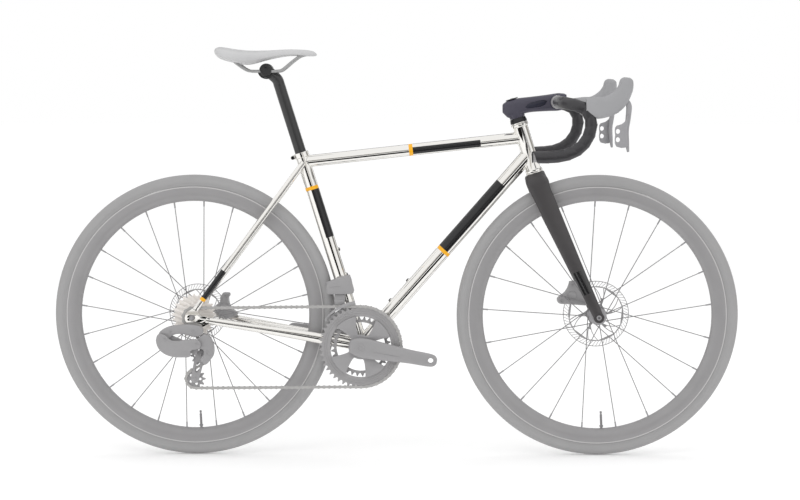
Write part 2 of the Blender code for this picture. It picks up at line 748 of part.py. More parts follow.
def rear_wheel():
    tyre_and_rim("rear", REAR_AXLE, REAR_SPIN)
    end = REAR_INNER - GAP
    rotor_y = REAR_INNER - ROTOR_INBOARD
    left, right = 0.0350, -0.0190
    bore = round_hole(THRU_AXLE_RADIUS + RUNNING_GAP, HUB_STEPS)
    profile = [
        (0.0105, end), (0.0105, rotor_y + 0.006), (0.0172, rotor_y + 0.006), (0.0172, left + 0.004),
        (0.0235, left + 0.002), (0.0235, left - 0.0015), (0.0135, left - 0.007), (0.0150, right + 0.006),
        (0.0260, right + 0.0015), (0.0260, right - 0.0015),
        (FREEHUB_RADIUS, right - 0.0035), (FREEHUB_RADIUS, OUTER_COG_Y), (0.0105, OUTER_COG_Y),
        (0.0105, -end), (bore, -end), (bore, end),
    ]
    hub = turned("rear_hub", profile, REAR_AXLE, LEFT, HUB_STEPS, bored=True)
    runs = []
    step = 2 * math.pi / REAR_SPOKES_A_SIDE
    lead = math.radians(66)
    for i in range(REAR_SPOKES_A_SIDE):
        away = 1 if i % 2 else -1
        for middle, radius, rim_shift in ((left, 0.0215, 0.0), (right, 0.0238, step / 2)):
            rim_turn = i * step + rim_shift + math.radians(10.3)
            runs.append((radius, rim_turn + away * lead, middle + 0.0017 * away, rim_turn))
    done(fuse(hub, spokes(REAR_AXLE, runs)), GREY_METAL, REAR_SPIN)
    rotor("rear_rotor", REAR_AXLE, rotor_y, REAR_ROTOR_RADIUS, 0.0172 + GAP, REAR_SPIN)


front_wheel()
rear_wheel()

# --- Chain line ---------------------------------------------------------------------------------


def pitch_radius(teeth):
    return CHAIN_PITCH / (2 * math.sin(math.pi / teeth))


GUIDE_FROM_AXLE = Vector((0.019, 0, -0.090))
CAGE_LENGTH = 0.0590
LOWEST_CAGE, HIGHEST_CAGE = math.radians(-125), math.radians(-95)
GUIDE = REAR_AXLE + GUIDE_FROM_AXLE


def chain_path(cage_turn):
    """Arcs and straights through the pins, as (centre, radius, start, sweep) or (start, end) in X and Z.

    From the big ring's top back to the smallest cog, down round the pulleys and forward again."""
    tension = GUIDE + Vector((math.cos(cage_turn), 0, math.sin(cage_turn))) * CAGE_LENGTH
    pulley = pitch_radius(PULLEY_TEETH)
    wheels = (
        (BB, pitch_radius(BIG_RING_TEETH), 1),
        (REAR_AXLE, pitch_radius(COG_TEETH[0]), 1),
        (GUIDE, pulley, -1),
        (tension, pulley, 1),
    )
    leaves, arrives = [], []
    for i, (centre, radius, way) in enumerate(wheels):
        other, other_radius, other_way = wheels[(i + 1) % 4]
        span = math.hypot(other.x - centre.x, other.z - centre.z)
        aim = math.atan2(other.z - centre.z, other.x - centre.x)
        # Turning anticlockwise, the chain leaves a wheel on its right-hand side as seen along the span.
        lean = math.acos((radius - way * other_way * other_radius) / span)
        leaves.append(aim - way * lean)
        arrives.append(aim - way * lean if way == other_way else aim - way * lean + math.pi)
    pieces = []
    for i, (centre, radius, way) in enumerate(wheels):
        start, end = arrives[i - 1], leaves[i]
        sweep = (end - start) * way % (2 * math.pi) * way
        if i:
            pieces.append(("arc", centre, radius, start, sweep))
        other, other_radius, _ = wheels[(i + 1) % 4]
        a = Vector((centre.x + radius * math.cos(end), 0, centre.z + radius * math.sin(end)))
        turn = arrives[i]
        b = Vector((other.x + other_radius * math.cos(turn), 0, other.z + other_radius * math.sin(turn)))
        pieces.append(("line", a, b))
    start, end = arrives[3], leaves[0]
    pieces.append(("arc", BB, wheels[0][1], start, (end - start) % (2 * math.pi)))
    return pieces, tension


def piece_length(piece):
    if piece[0] == "line":
        return (piece[2] - piece[1]).length
    return piece[2] * abs(piece[4])


def path_point(pieces, run):
    for piece in pieces:
        length = piece_length(piece)
        if run <= length:
            break
        run -= length
    share = min(run / length, 1.0)
    if piece[0] == "line":
        return piece[1].lerp(piece[2], share)
    turn = piece[3] + piece[4] * share
    return Vector((piece[1].x + piece[2] * math.cos(turn), 0, piece[1].z + piece[2] * math.sin(turn)))


def walk_chain(pieces):
    """Runs along the path of pins one pitch apart, and what is left over at the end, in pitches."""
    total = sum(piece_length(piece) for piece in pieces)
    runs = [0.0]
    while True:
        here = path_point(pieces, runs[-1])
        low, high = runs[-1] + CHAIN_PITCH * 0.9, runs[-1] + CHAIN_PITCH * 1.3
        for _ in range(40):
            middle = (low + high) / 2
            if (path_point(pieces, min(middle, total)) - here).length < CHAIN_PITCH:
                low = middle
            else:
                high = middle
        if high >= total:
            return runs, (total - runs[-1]) / CHAIN_PITCH
        runs.append(high)


def fitted_chain():
    """The cage angle at which an even number of links closes the loop, found by halving."""
    def links(turn):
        runs, left = walk_chain(chain_path(turn)[0])
        return len(runs) + left - 1

    low, high = LOWEST_CAGE, HIGHEST_CAGE
    middle = links((low + high) / 2)
    goal = 2 * round(middle / 2)
    rising = links(high) > links(low)
    for _ in range(40):
        turn = (low + high) / 2
        if (links(turn) < goal) == rising:
            low = turn
        else:
            high = turn
    pieces, tension = chain_path(low)
    runs = walk_chain(pieces)[0][:goal]
    return pieces, runs, tension, low


PATH, PIN_RUNS, TENSION, CAGE_TURN = fitted_chain()
PINS = [path_point(PATH, run) for run in PIN_RUNS]


def chain_y(point):
    """The chain's place across the bicycle: square on the cogs and the ring, slanting between them."""
    near_cog = REAR_AXLE.x + 0.052
    near_ring = BB.x - 0.055
    share = min(max((point.x - near_cog) / (near_ring - near_cog), 0), 1)
    return OUTER_COG_Y + (BIG_RING_Y - OUTER_COG_Y) * share


def pin_turn(centre, teeth):
    """The angle of a pin that lies on this wheel."""
    radius = pitch_radius(teeth)
    def miss(pin):
        return abs(math.hypot(pin.x - centre.x, pin.z - centre.z) - radius)

    pins = [pin for pin in PINS if miss(pin) < 1e-5]
    pin = pins[len(pins) // 2]
    return math.atan2(pin.z - centre.z, pin.x - centre.x)


def chain():
    """Roller chain in one body. Outer links are straight plates stacked on the ends of waisted inner ones,
    and a roller crosses at each pin."""
    shape = bmesh.new()
    count = len(PINS)
    places = [pin + LEFT * chain_y(pin) for pin in PINS]
    outer = CHAIN_INNER + 2 * PLATE_THICKNESS
    sections = {1: [], -1: []}  # for each side, (four corners, the roller's two tips or None) along the chain
    for i, place in enumerate(places):
        following, before = places[(i + 1) % count], places[i - 1]
        along = (following - before).normalized()
        over = Vector((-along.z, 0, along.x)).normalized() * PLATE_HALF_HEIGHT
        middle = (place + following) / 2
        run = (following - place).normalized()
        waist = Vector((-run.z, 0, run.x)).normalized() * PLATE_WAIST
        for side in (1, -1):
            def corners(centre, high, low_y, high_y):
                flat = ((1, low_y), (1, high_y), (-1, high_y), (-1, low_y))
                return [shape.verts.new(centre + high * n + LEFT * side * y) for n, y in flat]

            inside = place + LEFT * side * CHAIN_INNER
            tips = [shape.verts.new(inside + along * n * ROLLER_RADIUS) for n in (-1, 1)]
            sections[side].append((corners(place, over, CHAIN_INNER, outer), tips))
            if i % 2:
                thin = CHAIN_INNER + PLATE_THICKNESS
                sections[side].append((corners(middle, waist, CHAIN_INNER, thin), None))
    for side in (1, -1):
        line = sections[side]
        for (a, a_tips), (b, b_tips) in zip(line, line[1:] + line[:1]):
            for j in range(3):
                shape.faces.new((a[j], a[j + 1], b[j + 1], b[j]))
            tips = [found[end] for found, end in ((a_tips, 1), (b_tips, 0)) if found]
            shape.faces.new([a[0]] + tips + [b[0]])
            shape.faces.new([a[3]] + tips + [b[3]])
            if len(tips) == 1:
                flat = a if b_tips else b
                shape.faces.new((flat[0], tips[0], flat[3]))
    for (a, a_tips), (b, b_tips) in zip(sections[1], sections[-1]):
        if a_tips:
            for edge in (0, 3):
                for end in (0, 1):
                    shape.faces.new((a[edge], b[edge], b_tips[end], a_tips[end]))
    bmesh.ops.recalc_face_normals(shape, faces=shape.faces)
    mesh = bpy.data.meshes.new("chain")
    shape.to_mesh(mesh)
    shape.free()
    done(put("chain", mesh), CHAIN_METAL)


def toothed(centre, teeth, phase, fine):
    """A sprocket's outline. Fine teeth have a flat valley for the roller."""
    radius = pitch_radius(teeth)
    step = 2 * math.pi / teeth
    root, tip = radius - PLATE_HALF_HEIGHT - GAP, radius + 0.0028
    points = []
    for i in range(teeth):
        valley = phase + i * step
        if fine:
            points.append(point_on(centre, root, valley - 0.0018 / root))
            points.append(point_on(centre, root, valley + 0.0018 / root))
            points.append(point_on(centre, tip, valley + step / 2))
        else:
            points.append(point_on(centre, root - 0.0006, valley))
            points.append(point_on(centre, tip - 0.0004, valley + step / 2))
    return points


COGS = len(COG_TEETH)


def cassette():
    """Eleven cogs on spacers. The smallest has the chain on it, so its teeth are the finest."""
    phase = pin_turn(REAR_AXLE, COG_TEETH[0])
    bore = FREEHUB_RADIUS + RUNNING_GAP
    inner = OUTER_COG_Y + COG_PITCH * (COGS - 1) + COG_THICKNESS / 2
    body = cylinder(
        "cassette", REAR_AXLE + LEFT * (OUTER_COG_Y - 0.0022), REAR_AXLE + LEFT * inner, 0.0170, 10, bore=bore
    )
    for i, teeth in enumerate(COG_TEETH):
        y = OUTER_COG_Y + COG_PITCH * i
        hole = [point_on(REAR_AXLE, 0.0163, 2 * math.pi * j / 10) for j in range(10)]
        outline = toothed(REAR_AXLE, teeth, phase, i == 0)
        body = fuse(body, plate("cog", [outline, hole], y, COG_THICKNESS))
    done(body, PALE_METAL, REAR_SPIN)


SPIDER_ANGLES = [CRANK_ANGLE + math.radians(a) for a in (50, 130, -130, -50)]


def ring_inner(centre, inner, tab_inner, tab_half):
    """A ring's inner outline, with a tab inwards at each arm of the spider."""
    points = []
    for i, turn in enumerate(sorted(SPIDER_ANGLES)):
        out = tab_half / inner
        into = tab_half * 0.8 / tab_inner
        points.append(point_on(centre, inner, turn - out - 0.06))
        points.append(point_on(centre, tab_inner, turn - into))
        points.append(point_on(centre, tab_inner, turn + into))
        points.append(point_on(centre, inner, turn + out + 0.06))
        following = sorted(SPIDER_ANGLES)[(i + 1) % 4] + (2 * math.pi if i == 3 else 0)
        for j in (1, 2):
            share = j / 3
            a, b = turn + out + 0.06, following - out - 0.06
            points.append(point_on(centre, inner, a + (b - a) * share))
    return points


def chainrings():
    phase = pin_turn(BB, BIG_RING_TEETH)
    for name, teeth, y, inner in (
        ("big_chainring", BIG_RING_TEETH, BIG_RING_Y, 0.073),
        ("small_chainring", SMALL_RING_TEETH, SMALL_RING_Y, 0.058),
    ):
        outlines = [toothed(BB, teeth, phase, False), ring_inner(BB, inner, 0.0495, 0.011)]
        done(plate(name, outlines, y, RING_THICKNESS), GREY_METAL, CRANK_SPIN)


def crank_arm(name, turn, side, hollow):
    """The arm tapers from the boss to a round end. hollow is the bore at the boss, or 0."""
    way = Vector((math.cos(turn), 0, math.sin(turn)))
    across = Vector((-way.z, 0, way.x))
    inner, outer = 0.0575, 0.0700
    stations = (
        (0.004, 0.033, inner, outer),
        (0.050, 0.031, inner + 0.0005, outer + 0.0008),
        (0.110, 0.027, inner + 0.0020, outer + 0.0020),
        (CRANK_LENGTH - 0.002, 0.028, inner + 0.0035, outer + 0.0030),
    )
    rings = []
    for run, wide, low, high in stations:
        middle = BB + way * run + LEFT * side * (low + high) / 2
        rings.append(oval(middle, way, across, wide, (high - low) * 1.04, 10, 0.6))
    arm = loft(name, rings)
    boss = cylinder("boss", BB + LEFT * side * 0.0465, BB + LEFT * side * (outer + 0.001), 0.0180, 14)
    end = BB + way * CRANK_LENGTH
    eye = cylinder(
        "eye", end + LEFT * side * (inner + 0.003), end + LEFT * side * (outer + 0.0035), CRANK_END_RADIUS, 14
    )
    arm = fuse(arm, boss, eye)
    hole = cylinder("cutter", end + LEFT * side * 0.04, end + LEFT * side * 0.09, 0.0066, 12)
    arm = cut(arm, hole)
    if hollow:
        start, stop = BB + LEFT * side * 0.04, BB + LEFT * side * 0.0665
        arm = cut(arm, cylinder("cutter", start, stop, round_hole(hollow, 16), 16))
    return arm


def crankset():
    right = crank_arm("crank_right", CRANK_ANGLE, -1, 0)
    spindle = cylinder("spindle", BB - LEFT * 0.060, BB + LEFT * 0.066, SPINDLE_RADIUS, 16)
    plate_in = BIG_RING_Y + RING_THICKNESS / 2 + GAP  # the tabs lie between the rings
    plate_out = SMALL_RING_Y - RING_THICKNESS / 2 - GAP
    right = fuse(right, spindle)
    hub = cylinder("hub", BB - LEFT * 0.0465, BB - LEFT * 0.0560, 0.0300, 14)
    right = fuse(right, hub)
    for turn in SPIDER_ANGLES:
        way = Vector((math.cos(turn), 0, math.sin(turn)))
        arm = plate("arm", [spider_outline(turn, 0.0255, 0.0480, 0.0125, 0.0105)], -0.0485, 0.0110)
        tab = plate(
            "tab", [spider_outline(turn, 0.0440, 0.0620, 0.0105, 0.0090)], (plate_in + plate_out) / 2,
            abs(plate_out - plate_in),
        )
        right = fuse(right, arm, tab)
    done(right, GREY, CRANK_SPIN)
    left = crank_arm("crank_left", CRANK_ANGLE + math.pi, 1, SPINDLE_RADIUS + GAP)
    done(left, GREY, CRANK_SPIN)


def spider_outline(turn, inner, outer, half_in, half_out):
    way = Vector((math.cos(turn), 0, math.sin(turn)))
    across = Vector((-way.z, 0, way.x))
    corners = ((inner, -half_in), (outer - 0.004, -half_out), (outer, -half_out * 0.6))
    corners += ((outer, half_out * 0.6), (outer - 0.004, half_out), (inner, half_in))
    points = [BB + way * run + across * off for run, off in corners]
    return [(p.x, p.z) for p in points]


chain()
cassette()
chainrings()
crankset()

# --- Stem and handlebar -------------------------------------------------------------------------

STEM_MIDDLE = STEM_FOOT + HEAD_UP * 0.024
BAR_CENTRE = STEM_MIDDLE + Vector((STEM_LENGTH, 0, STEM_RISE))
STEM_WIDTH = 0.046
# Along the stem: share of the way to the bar, height above that line, height and width.
STEM_STATIONS = (
    (-0.28, 0.0035, 0.019, 0.020),
    (-0.13, 0.0000, 0.043, 0.034),
    (0.07, 0.0020, 0.042, 0.038),
    (0.35, 0.0035, 0.037, 0.038),
    (0.74, 0.0015, 0.039, 0.044),
    (1.00, 0.0000, 0.042, STEM_WIDTH),
    (1.17, -0.0010, 0.037, STEM_WIDTH),
    (1.22, -0.0010, 0.028, STEM_WIDTH - 0.008),
)


def stem_blank(name):
    line = BAR_CENTRE - STEM_MIDDLE
    rings = []
    for share, rise, height, width in STEM_STATIONS:
        middle = STEM_MIDDLE + line * share + UP * rise
        rings.append(oval(middle, FORWARD, LEFT, width, height, 12, 0.55))
    blank = loft(name, rings)
    reach = LEFT * STEM_WIDTH
    bar = cylinder("cutter", BAR_CENTRE - reach, BAR_CENTRE + reach, round_hole(BAR_CLAMP_RADIUS + GAP, 18))
    return cut(blank, bar)


def stem():
    split = 0.0005
    far = Vector((0.2, 0.1, 0.1))
    front = box("cutter", BAR_CENTRE - far + FORWARD * (0.2 - split), BAR_CENTRE + far)
    rear = box("cutter", BAR_CENTRE - far, BAR_CENTRE + far - FORWARD * (0.2 - split))
    foot = cylinder("foot", STEM_FOOT + HEAD_UP * GAP, STEM_FOOT + HEAD_UP * 0.030, 0.0185)
    top = STEM_FOOT + HEAD_UP * (0.036 + 0.0015)
    steerer = cylinder("cutter", CROWN, top, round_hole(STEERER_RADIUS + GAP, 16), 16)
    body = cut(fuse(cut(stem_blank("stem"), front), foot), steerer)
    done(body, STEM_BLACK, STEERING)
    done(cut(stem_blank("stem_faceplate"), rear), STEM_BLACK, STEERING)


BAR_STATIONS = 43
# Half of the handlebar from its middle: forward, out and up from the clamp's middle.
HALF_BAR = (
    (0.000, 0.000, 0.000),
    (0.000, 0.050, 0.000),
    (0.000, 0.105, 0.000),
    (0.002, BAR_WIDTH / 2 - 0.050, -0.001),
    (0.012, BAR_WIDTH / 2 - 0.016, -0.003),
    (0.032, BAR_WIDTH / 2 - 0.002, -0.007),
    (0.052, BAR_WIDTH / 2 + 0.001, -0.016),
    (0.064, BAR_WIDTH / 2 + 0.002, -0.034),
    (0.066, BAR_WIDTH / 2 + 0.003, -0.056),
    (0.058, BAR_WIDTH / 2 + 0.004, -0.083),
    (0.038, BAR_WIDTH / 2 + 0.005, -0.107),
    (0.008, BAR_WIDTH / 2 + 0.006, -0.121),
    (-0.028, BAR_WIDTH / 2 + 0.007, -0.1255),
    (-0.068, BAR_WIDTH / 2 + 0.008, -0.1260),
)
BAR_LINE = [flipped(p, -1) for p in HALF_BAR[::-1]] + [Vector(p) for p in HALF_BAR[1:]]
BAR_POINTS = [BAR_CENTRE + p for p in smooth_line(BAR_LINE, BAR_STATIONS)]


def bar_radii(extra=0.0):
    return [
        (BAR_CLAMP_RADIUS if abs(point.y) < STEM_WIDTH / 2 + 0.018 else BAR_RADIUS) + extra
        for point in BAR_POINTS
    ]


def handlebar():
    done(loft("handlebar", swept_rings(BAR_POINTS, bar_radii())), GREY, STEERING)


UNIT_RINGS = [
    [point - centre for point in ring]
    for centre, ring in zip(BAR_POINTS, swept_rings(BAR_POINTS, [1.0] * BAR_STATIONS))
]


def on_bar(place, corner, radius):
    """A point round the bar. place counts stations, and corner counts the bar's eight edges."""
    low = min(int(place), BAR_STATIONS - 2)
    corner %= 8
    a = BAR_POINTS[low] + UNIT_RINGS[low][corner] * radius
    b = BAR_POINTS[low + 1] + UNIT_RINGS[low + 1][corner] * radius
    return a.lerp(b, place - low)


TAPE_FROM_END = 0.3  # in stations
TAPE_TO = next(i for i, point in enumerate(BAR_POINTS) if point.y > -0.085)
TAPE_STEPS = 8 * (TAPE_TURNS - 1) + 1
TAPE_ADVANCE = (TAPE_TO - TAPE_FROM_END) / TAPE_TURNS  # stations to a turn


def tape_heights():
    """The tape's inner radius at each step round the bar.

    Its edges are straight across a turn, so it stands off the bar by as much as the bar bends there."""
    bends = []
    for i in range(TAPE_STEPS):
        place = TAPE_FROM_END + TAPE_ADVANCE * i / 8
        ends = [on_bar(place + TAPE_ADVANCE * share, i, BAR_RADIUS) for share in (0, 1)]
        middle = on_bar(place + TAPE_ADVANCE / 2, i, BAR_RADIUS)
        bends.append((middle - (ends[0] + ends[1]) / 2).length)
    return [BAR_RADIUS + GAP + 1.25 * max(bends[max(i - 2, 0):i + 3]) for i in range(TAPE_STEPS)]


TAPE_INNER = tape_heights()


def bar_tape(name, start, way):
    """Tape wound round the bar in one unbroken strip. Its trailing edge is the thicker one."""
    station = (BAR_POINTS[1] - BAR_POINTS[0]).length
    wide = TAPE_ADVANCE - TAPE_GAP / station
    rings = []
    for i, inner in enumerate(TAPE_INNER):
        place = start + way * TAPE_ADVANCE * i / 8
        far = place + way * wide
        outer = inner + TAPE_THICKNESS
        edges = ((place, inner), (far, inner), (far, outer), (place, outer - 0.0008))
        rings.append([on_bar(along, i, radius) for along, radius in edges])
    gaps = []
    for ring, later in zip(rings, rings[8:]):
        gaps += [(ring[1] - later[0]).length, (ring[2] - later[3]).length]
    print(name, "least gap between turns", round(min(gaps) * 1000, 2), "mm")
    done(loft(name, rings), TAPE, STEERING)


def tape_outside(station):
    """The tape's outer radius at a station of the bar, counted from the nearer end."""
    step = int((min(station, BAR_STATIONS - 1 - station) - TAPE_FROM_END) / TAPE_ADVANCE * 8)
    near = TAPE_INNER[max(step - 8, 0):max(step + 2, 1)]
    return max(near or TAPE_INNER[-1:]) + TAPE_THICKNESS


stem()
handlebar()
bar_tape("bar_tape_right", TAPE_FROM_END, 1)
bar_tape("bar_tape_left", BAR_STATIONS - 1 - TAPE_FROM_END, -1)

# --- Brake and shift levers ---------------------------------------------------------------------

HOOD_OUT = BAR_WIDTH / 2 + 0.002
LEVER_PIVOT = BAR_CENTRE + Vector((0.143, 0, 0.010))
LEVER_SLOT = 0.0070  # half width
# Forward and up from the bar's middle, the way the hood runs there, its depth and its width.
HOOD_STATIONS = (
    (0.054, -0.014, 0.00, 0.046, 0.028),
    (0.080, -0.013, 0.05, 0.050, 0.033),
    (0.102, -0.010, 0.25, 0.047, 0.034),
    (0.122, 0.000, 0.53, 0.046, 0.034),
    (0.136, 0.016, 0.98, 0.040, 0.033),
    (0.144, 0.034, 1.37, 0.035, 0.031),
    (0.146, 0.048, 1.47, 0.031, 0.028),
    (0.147, 0.0565, 1.47, 0.016, 0.015),
)
# Down the lever's blade, in the same way: forward, up, depth and width.
BLADE_STATIONS = (
    (0.1400, 0.0160, 0.008, 0.0090),
    (0.1455, 0.0040, 0.012, 0.0100),
    (0.1520, -0.0090, 0.013, 0.0110),
    (0.1505, -0.0350, 0.012, 0.0120),
    (0.1470, -0.0640, 0.0105, 0.0125),
    (0.1485, -0.0920, 0.009, 0.0120),
    (0.1505, -0.1140, 0.005, 0.0080),
)
PADDLE_THICKNESS = 0.0024


def hood(name, side):
    out = LEFT * side * HOOD_OUT
    rings = []
    for forward, up, turn, deep, wide in HOOD_STATIONS:
        along = Vector((math.cos(turn), 0, math.sin(turn)))
        rings.append(oval(BAR_CENTRE + Vector((forward, 0, up)) + out, along, LEFT, wide, deep, 10, 0.8))
    made = loft(name, rings)
    near = [
        i for i, p in enumerate(BAR_POINTS)
        if p.y * side > HOOD_OUT - 0.03 and p.z > BAR_CENTRE.z - 0.115
    ]
    radii = [tape_outside(i) + GAP for i in range(BAR_STATIONS)]
    tape = loft("cutter", swept_rings(BAR_POINTS, radii)[near[0] - 1:near[-1] + 2])
    slot = box(
        "cutter", LEVER_PIVOT + out - Vector((0.014, LEVER_SLOT, 0.045)),
        LEVER_PIVOT + out + Vector((0.030, LEVER_SLOT, 0.011)),
    )
    return done(cut(made, tape, slot), GREY, STEERING)


def brake_lever(name, side, pivot):
    out = LEFT * side * HOOD_OUT
    centres = [BAR_CENTRE + Vector((forward, 0, up)) + out for forward, up, _, _ in BLADE_STATIONS]
    rings = []
    for i, (_, _, deep, wide) in enumerate(BLADE_STATIONS):
        along = centres[min(i + 1, 6)] - centres[max(i - 1, 0)]
        rings.append(oval(centres[i], along, LEFT, wide, deep, 8, 0.8))
    half = LEFT * (LEVER_SLOT - GAP)
    boss = cylinder("boss", LEVER_PIVOT + out - half, LEVER_PIVOT + out + half, 0.0045, 12)
    return done(fuse(loft(name, rings), boss), GREY, pivot)


def shift_paddle(name, side, pivot):
    """A flat paddle behind the blade, with two half-round bites in its rear edge."""
    front, rear = 0.1520, 0.1190
    points = [(front, -0.030), (front, -0.100), (0.135, -0.104), (rear + 0.003, -0.101)]
    for middle in (-0.0855, -0.0665):
        points.append((rear, middle - 0.0065))
        for i in range(5):
            turn = -math.pi / 2 + math.pi * i / 4
            points.append((rear + 0.0048 * math.cos(turn), middle + 0.0048 * math.sin(turn)))
        points.append((rear, middle + 0.0065))
    points += [(rear + 0.003, -0.054), (0.135, -0.050), (0.1445, -0.040), (0.1465, -0.030)]
    outline = [(BAR_CENTRE.x + x, BAR_CENTRE.z + z) for x, z in points]
    y = side * (HOOD_OUT + BLADE_STATIONS[4][3] / 2 + GAP + PADDLE_THICKNESS / 2)
    return done(plate(name, [outline], y, PADDLE_THICKNESS), GREY, pivot)


for side_name, side_sign in (("left", 1), ("right", -1)):
    lever_joint = joint(f"brake_lever_{side_name}_pivot", LEVER_PIVOT + LEFT * side_sign * HOOD_OUT)
    lever_joint.parent = STEERING
    lever_joint.matrix_parent_inverse = Matrix.Translation(-CROWN)
    hood("hood_" + side_name, side_sign)
    brake_lever("brake_lever_" + side_name, side_sign, lever_joint)
    shift_paddle("shift_paddle_" + side_name, side_sign, lever_joint)

# --- Disc brakes --------------------------------------------------------------------------------

PAD_THICKNESS = 0.0026
SLOT_HALF = ROTOR_THICKNESS / 2 + PAD_CLEARANCE + PAD_THICKNESS + GAP
CALIPER_IN, CALIPER_OUT = 0.0100, 0.0160  # from the rotor's middle to the block's two sides


def caliper(prefix, axle, rotor_radius, rotor_y, way, near, far, side_from, side_to, carrier, parent):
    """A block with a round slot for the rotor and two pads in it, seated on the part that carries it.

    way runs along the carrier from the axle. near and far bound the block along it, and side_from and
    side_to across it, towards the wheel."""
    across = Vector((-way.z, 0, way.x))
    middle = axle + way * (near + far) / 2 + across * (side_from + side_to) / 2 + LEFT * rotor_y
    turn = -math.atan2(way.z, way.x)
    half = Vector(((far - near) / 2, (CALIPER_IN + CALIPER_OUT) / 2, abs(side_to - side_from) / 2))
    body = box(prefix + "_caliper", -half, half, 0.004, turn, middle + LEFT * (CALIPER_OUT - CALIPER_IN) / 2)
    low = Vector((-half.x + 0.002, -0.0060, -half.z - 0.010))
    body = fuse(body, box("foot", low, -low, 0.002, turn, middle + LEFT * (CALIPER_OUT - 0.0058)))
    slot = cylinder(
        "cutter", axle + LEFT * (rotor_y - SLOT_HALF), axle + LEFT * (rotor_y + SLOT_HALF),
        rotor_radius + 0.0025, 48,
    )
    done(cut(body, slot, *carrier), GREY, parent)
    pad_at = axle + (middle - LEFT * rotor_y - axle).normalized() * (rotor_radius - 0.0085)
    size = Vector((0.0100, PAD_THICKNESS / 2, 0.0065))
    for name, side in (("left", 1), ("right", -1)):
        offset = ROTOR_THICKNESS / 2 + PAD_CLEARANCE + PAD_THICKNESS / 2
        place = pad_at + LEFT * (rotor_y + side * offset)
        outward = (pad_at - axle).normalized()
        pad_turn = math.pi / 2 - math.atan2(outward.z, outward.x)
        pad = box(f"{prefix}_pad_{name}", -size, size, 0, pad_turn, place)
        done(pad, GREY_METAL, parent)


def brakes():
    blade = (fork_centre(FORK_STRAIGHT_FROM) - FRONT_AXLE).normalized()
    caliper(
        "front", FRONT_AXLE, FRONT_ROTOR_RADIUS, FRONT_INNER - ROTOR_INBOARD, blade, 0.046, 0.104,
        0.0185, 0.0435, [fork_blades(GAP)], STEERING,
    )
    stay = (BB - REAR_AXLE).normalized()
    caliper(
        "rear", REAR_AXLE, REAR_ROTOR_RADIUS, REAR_INNER - ROTOR_INBOARD, stay, 0.044, 0.100,
        0.0140, 0.0400, [chainstay("cutter", 1, GAP)], None,
    )


brakes()

# --- Seatpost and saddle ------------------------------------------------------------------------

SEATPOST_INSERT = 0.170
DRUM_RADIUS = 0.0165
EAR_RADIUS = 0.0135
RAIL_DROP = 0.0018  # below the clamp's middle


def seatpost():
    head = SEAT_TOP + SEAT_UP * 0.168
    curve = [head, head.lerp(CLAMP_CENTRE, 0.36) + Vector((0.0042, 0, 0.0030)), CLAMP_CENTRE]
    bend = smooth_line([head - SEAT_UP * 0.02] + curve, 7)[1:]
    points = [SEAT_TOP - SEAT_UP * SEATPOST_INSERT, head - SEAT_UP * 0.02] + bend
    rings = []
    for i, point in enumerate(points):
        along = points[min(i + 1, len(points) - 1)] - points[max(i - 1, 0)]
        if i < 2:
            along = SEAT_UP
        grow = max(0, i - 3) * 0.0018
        rings.append(oval(point, along, LEFT, 2 * SEATPOST_RADIUS + grow, 2 * SEATPOST_RADIUS, 12))
    reach = LEFT * 0.05
    drum_hole = round_hole(DRUM_RADIUS + GAP, 14)
    drum = cylinder("cutter", CLAMP_CENTRE - reach, CLAMP_CENTRE + reach, drum_hole, 14)
    done(cut(loft("seatpost", rings), drum), CARBON, SEAT_HEIGHT)


HALF_RAILS = (
    (-0.078, 0.036, 0.024),
    (-0.066, 0.034, 0.014),
    (-0.050, 0.028, 0.003),
    (-0.036, RAIL_SPACING / 2, -RAIL_DROP),
    (0.026, RAIL_SPACING / 2, -RAIL_DROP),
    (0.040, 0.0205, 0.002),
    (0.062, 0.0170, 0.020),
    (0.080, 0.0140, 0.033),
    (0.094, 0.0100, 0.0370),
    (0.101, 0.0000, 0.0375),
)


def saddle_rails(name, radius, longer=0.0):
    """One bent rod: up into the saddle's back, through the clamp and round inside the nose."""
    line = [CLAMP_CENTRE + Vector(p) for p in HALF_RAILS]
    line += [CLAMP_CENTRE + flipped(p, -1) for p in HALF_RAILS[-2::-1]]
    line[0] += (line[0] - line[1]).normalized() * longer
    line[-1] += (line[-1] - line[-2]).normalized() * longer
    return swept(name, line, radius, 6, LEFT)


# Along the saddle, from the back: distance, crown, edge and underside above its base, half width.
SADDLE_STATIONS = (
    (0.000, 0.036, 0.032, 0.028, 0.028),
    (0.008, 0.042, 0.028, 0.018, 0.050),
    (0.026, 0.041, 0.022, 0.010, 0.066),
    (0.053, 0.037, 0.018, 0.003, 0.0725),
    (0.083, 0.034, 0.016, 0.000, 0.066),
    (0.118, 0.0345, 0.0185, 0.009, 0.046),
    (0.178, 0.038, 0.025, 0.0210, 0.025),
    (0.228, 0.0360, 0.026, 0.0200, 0.019),
    (0.245, 0.027, 0.024, 0.0215, 0.006),
)
SADDLE_BASE = CLAMP_CENTRE + Vector((-0.1240, 0, 0.0135))


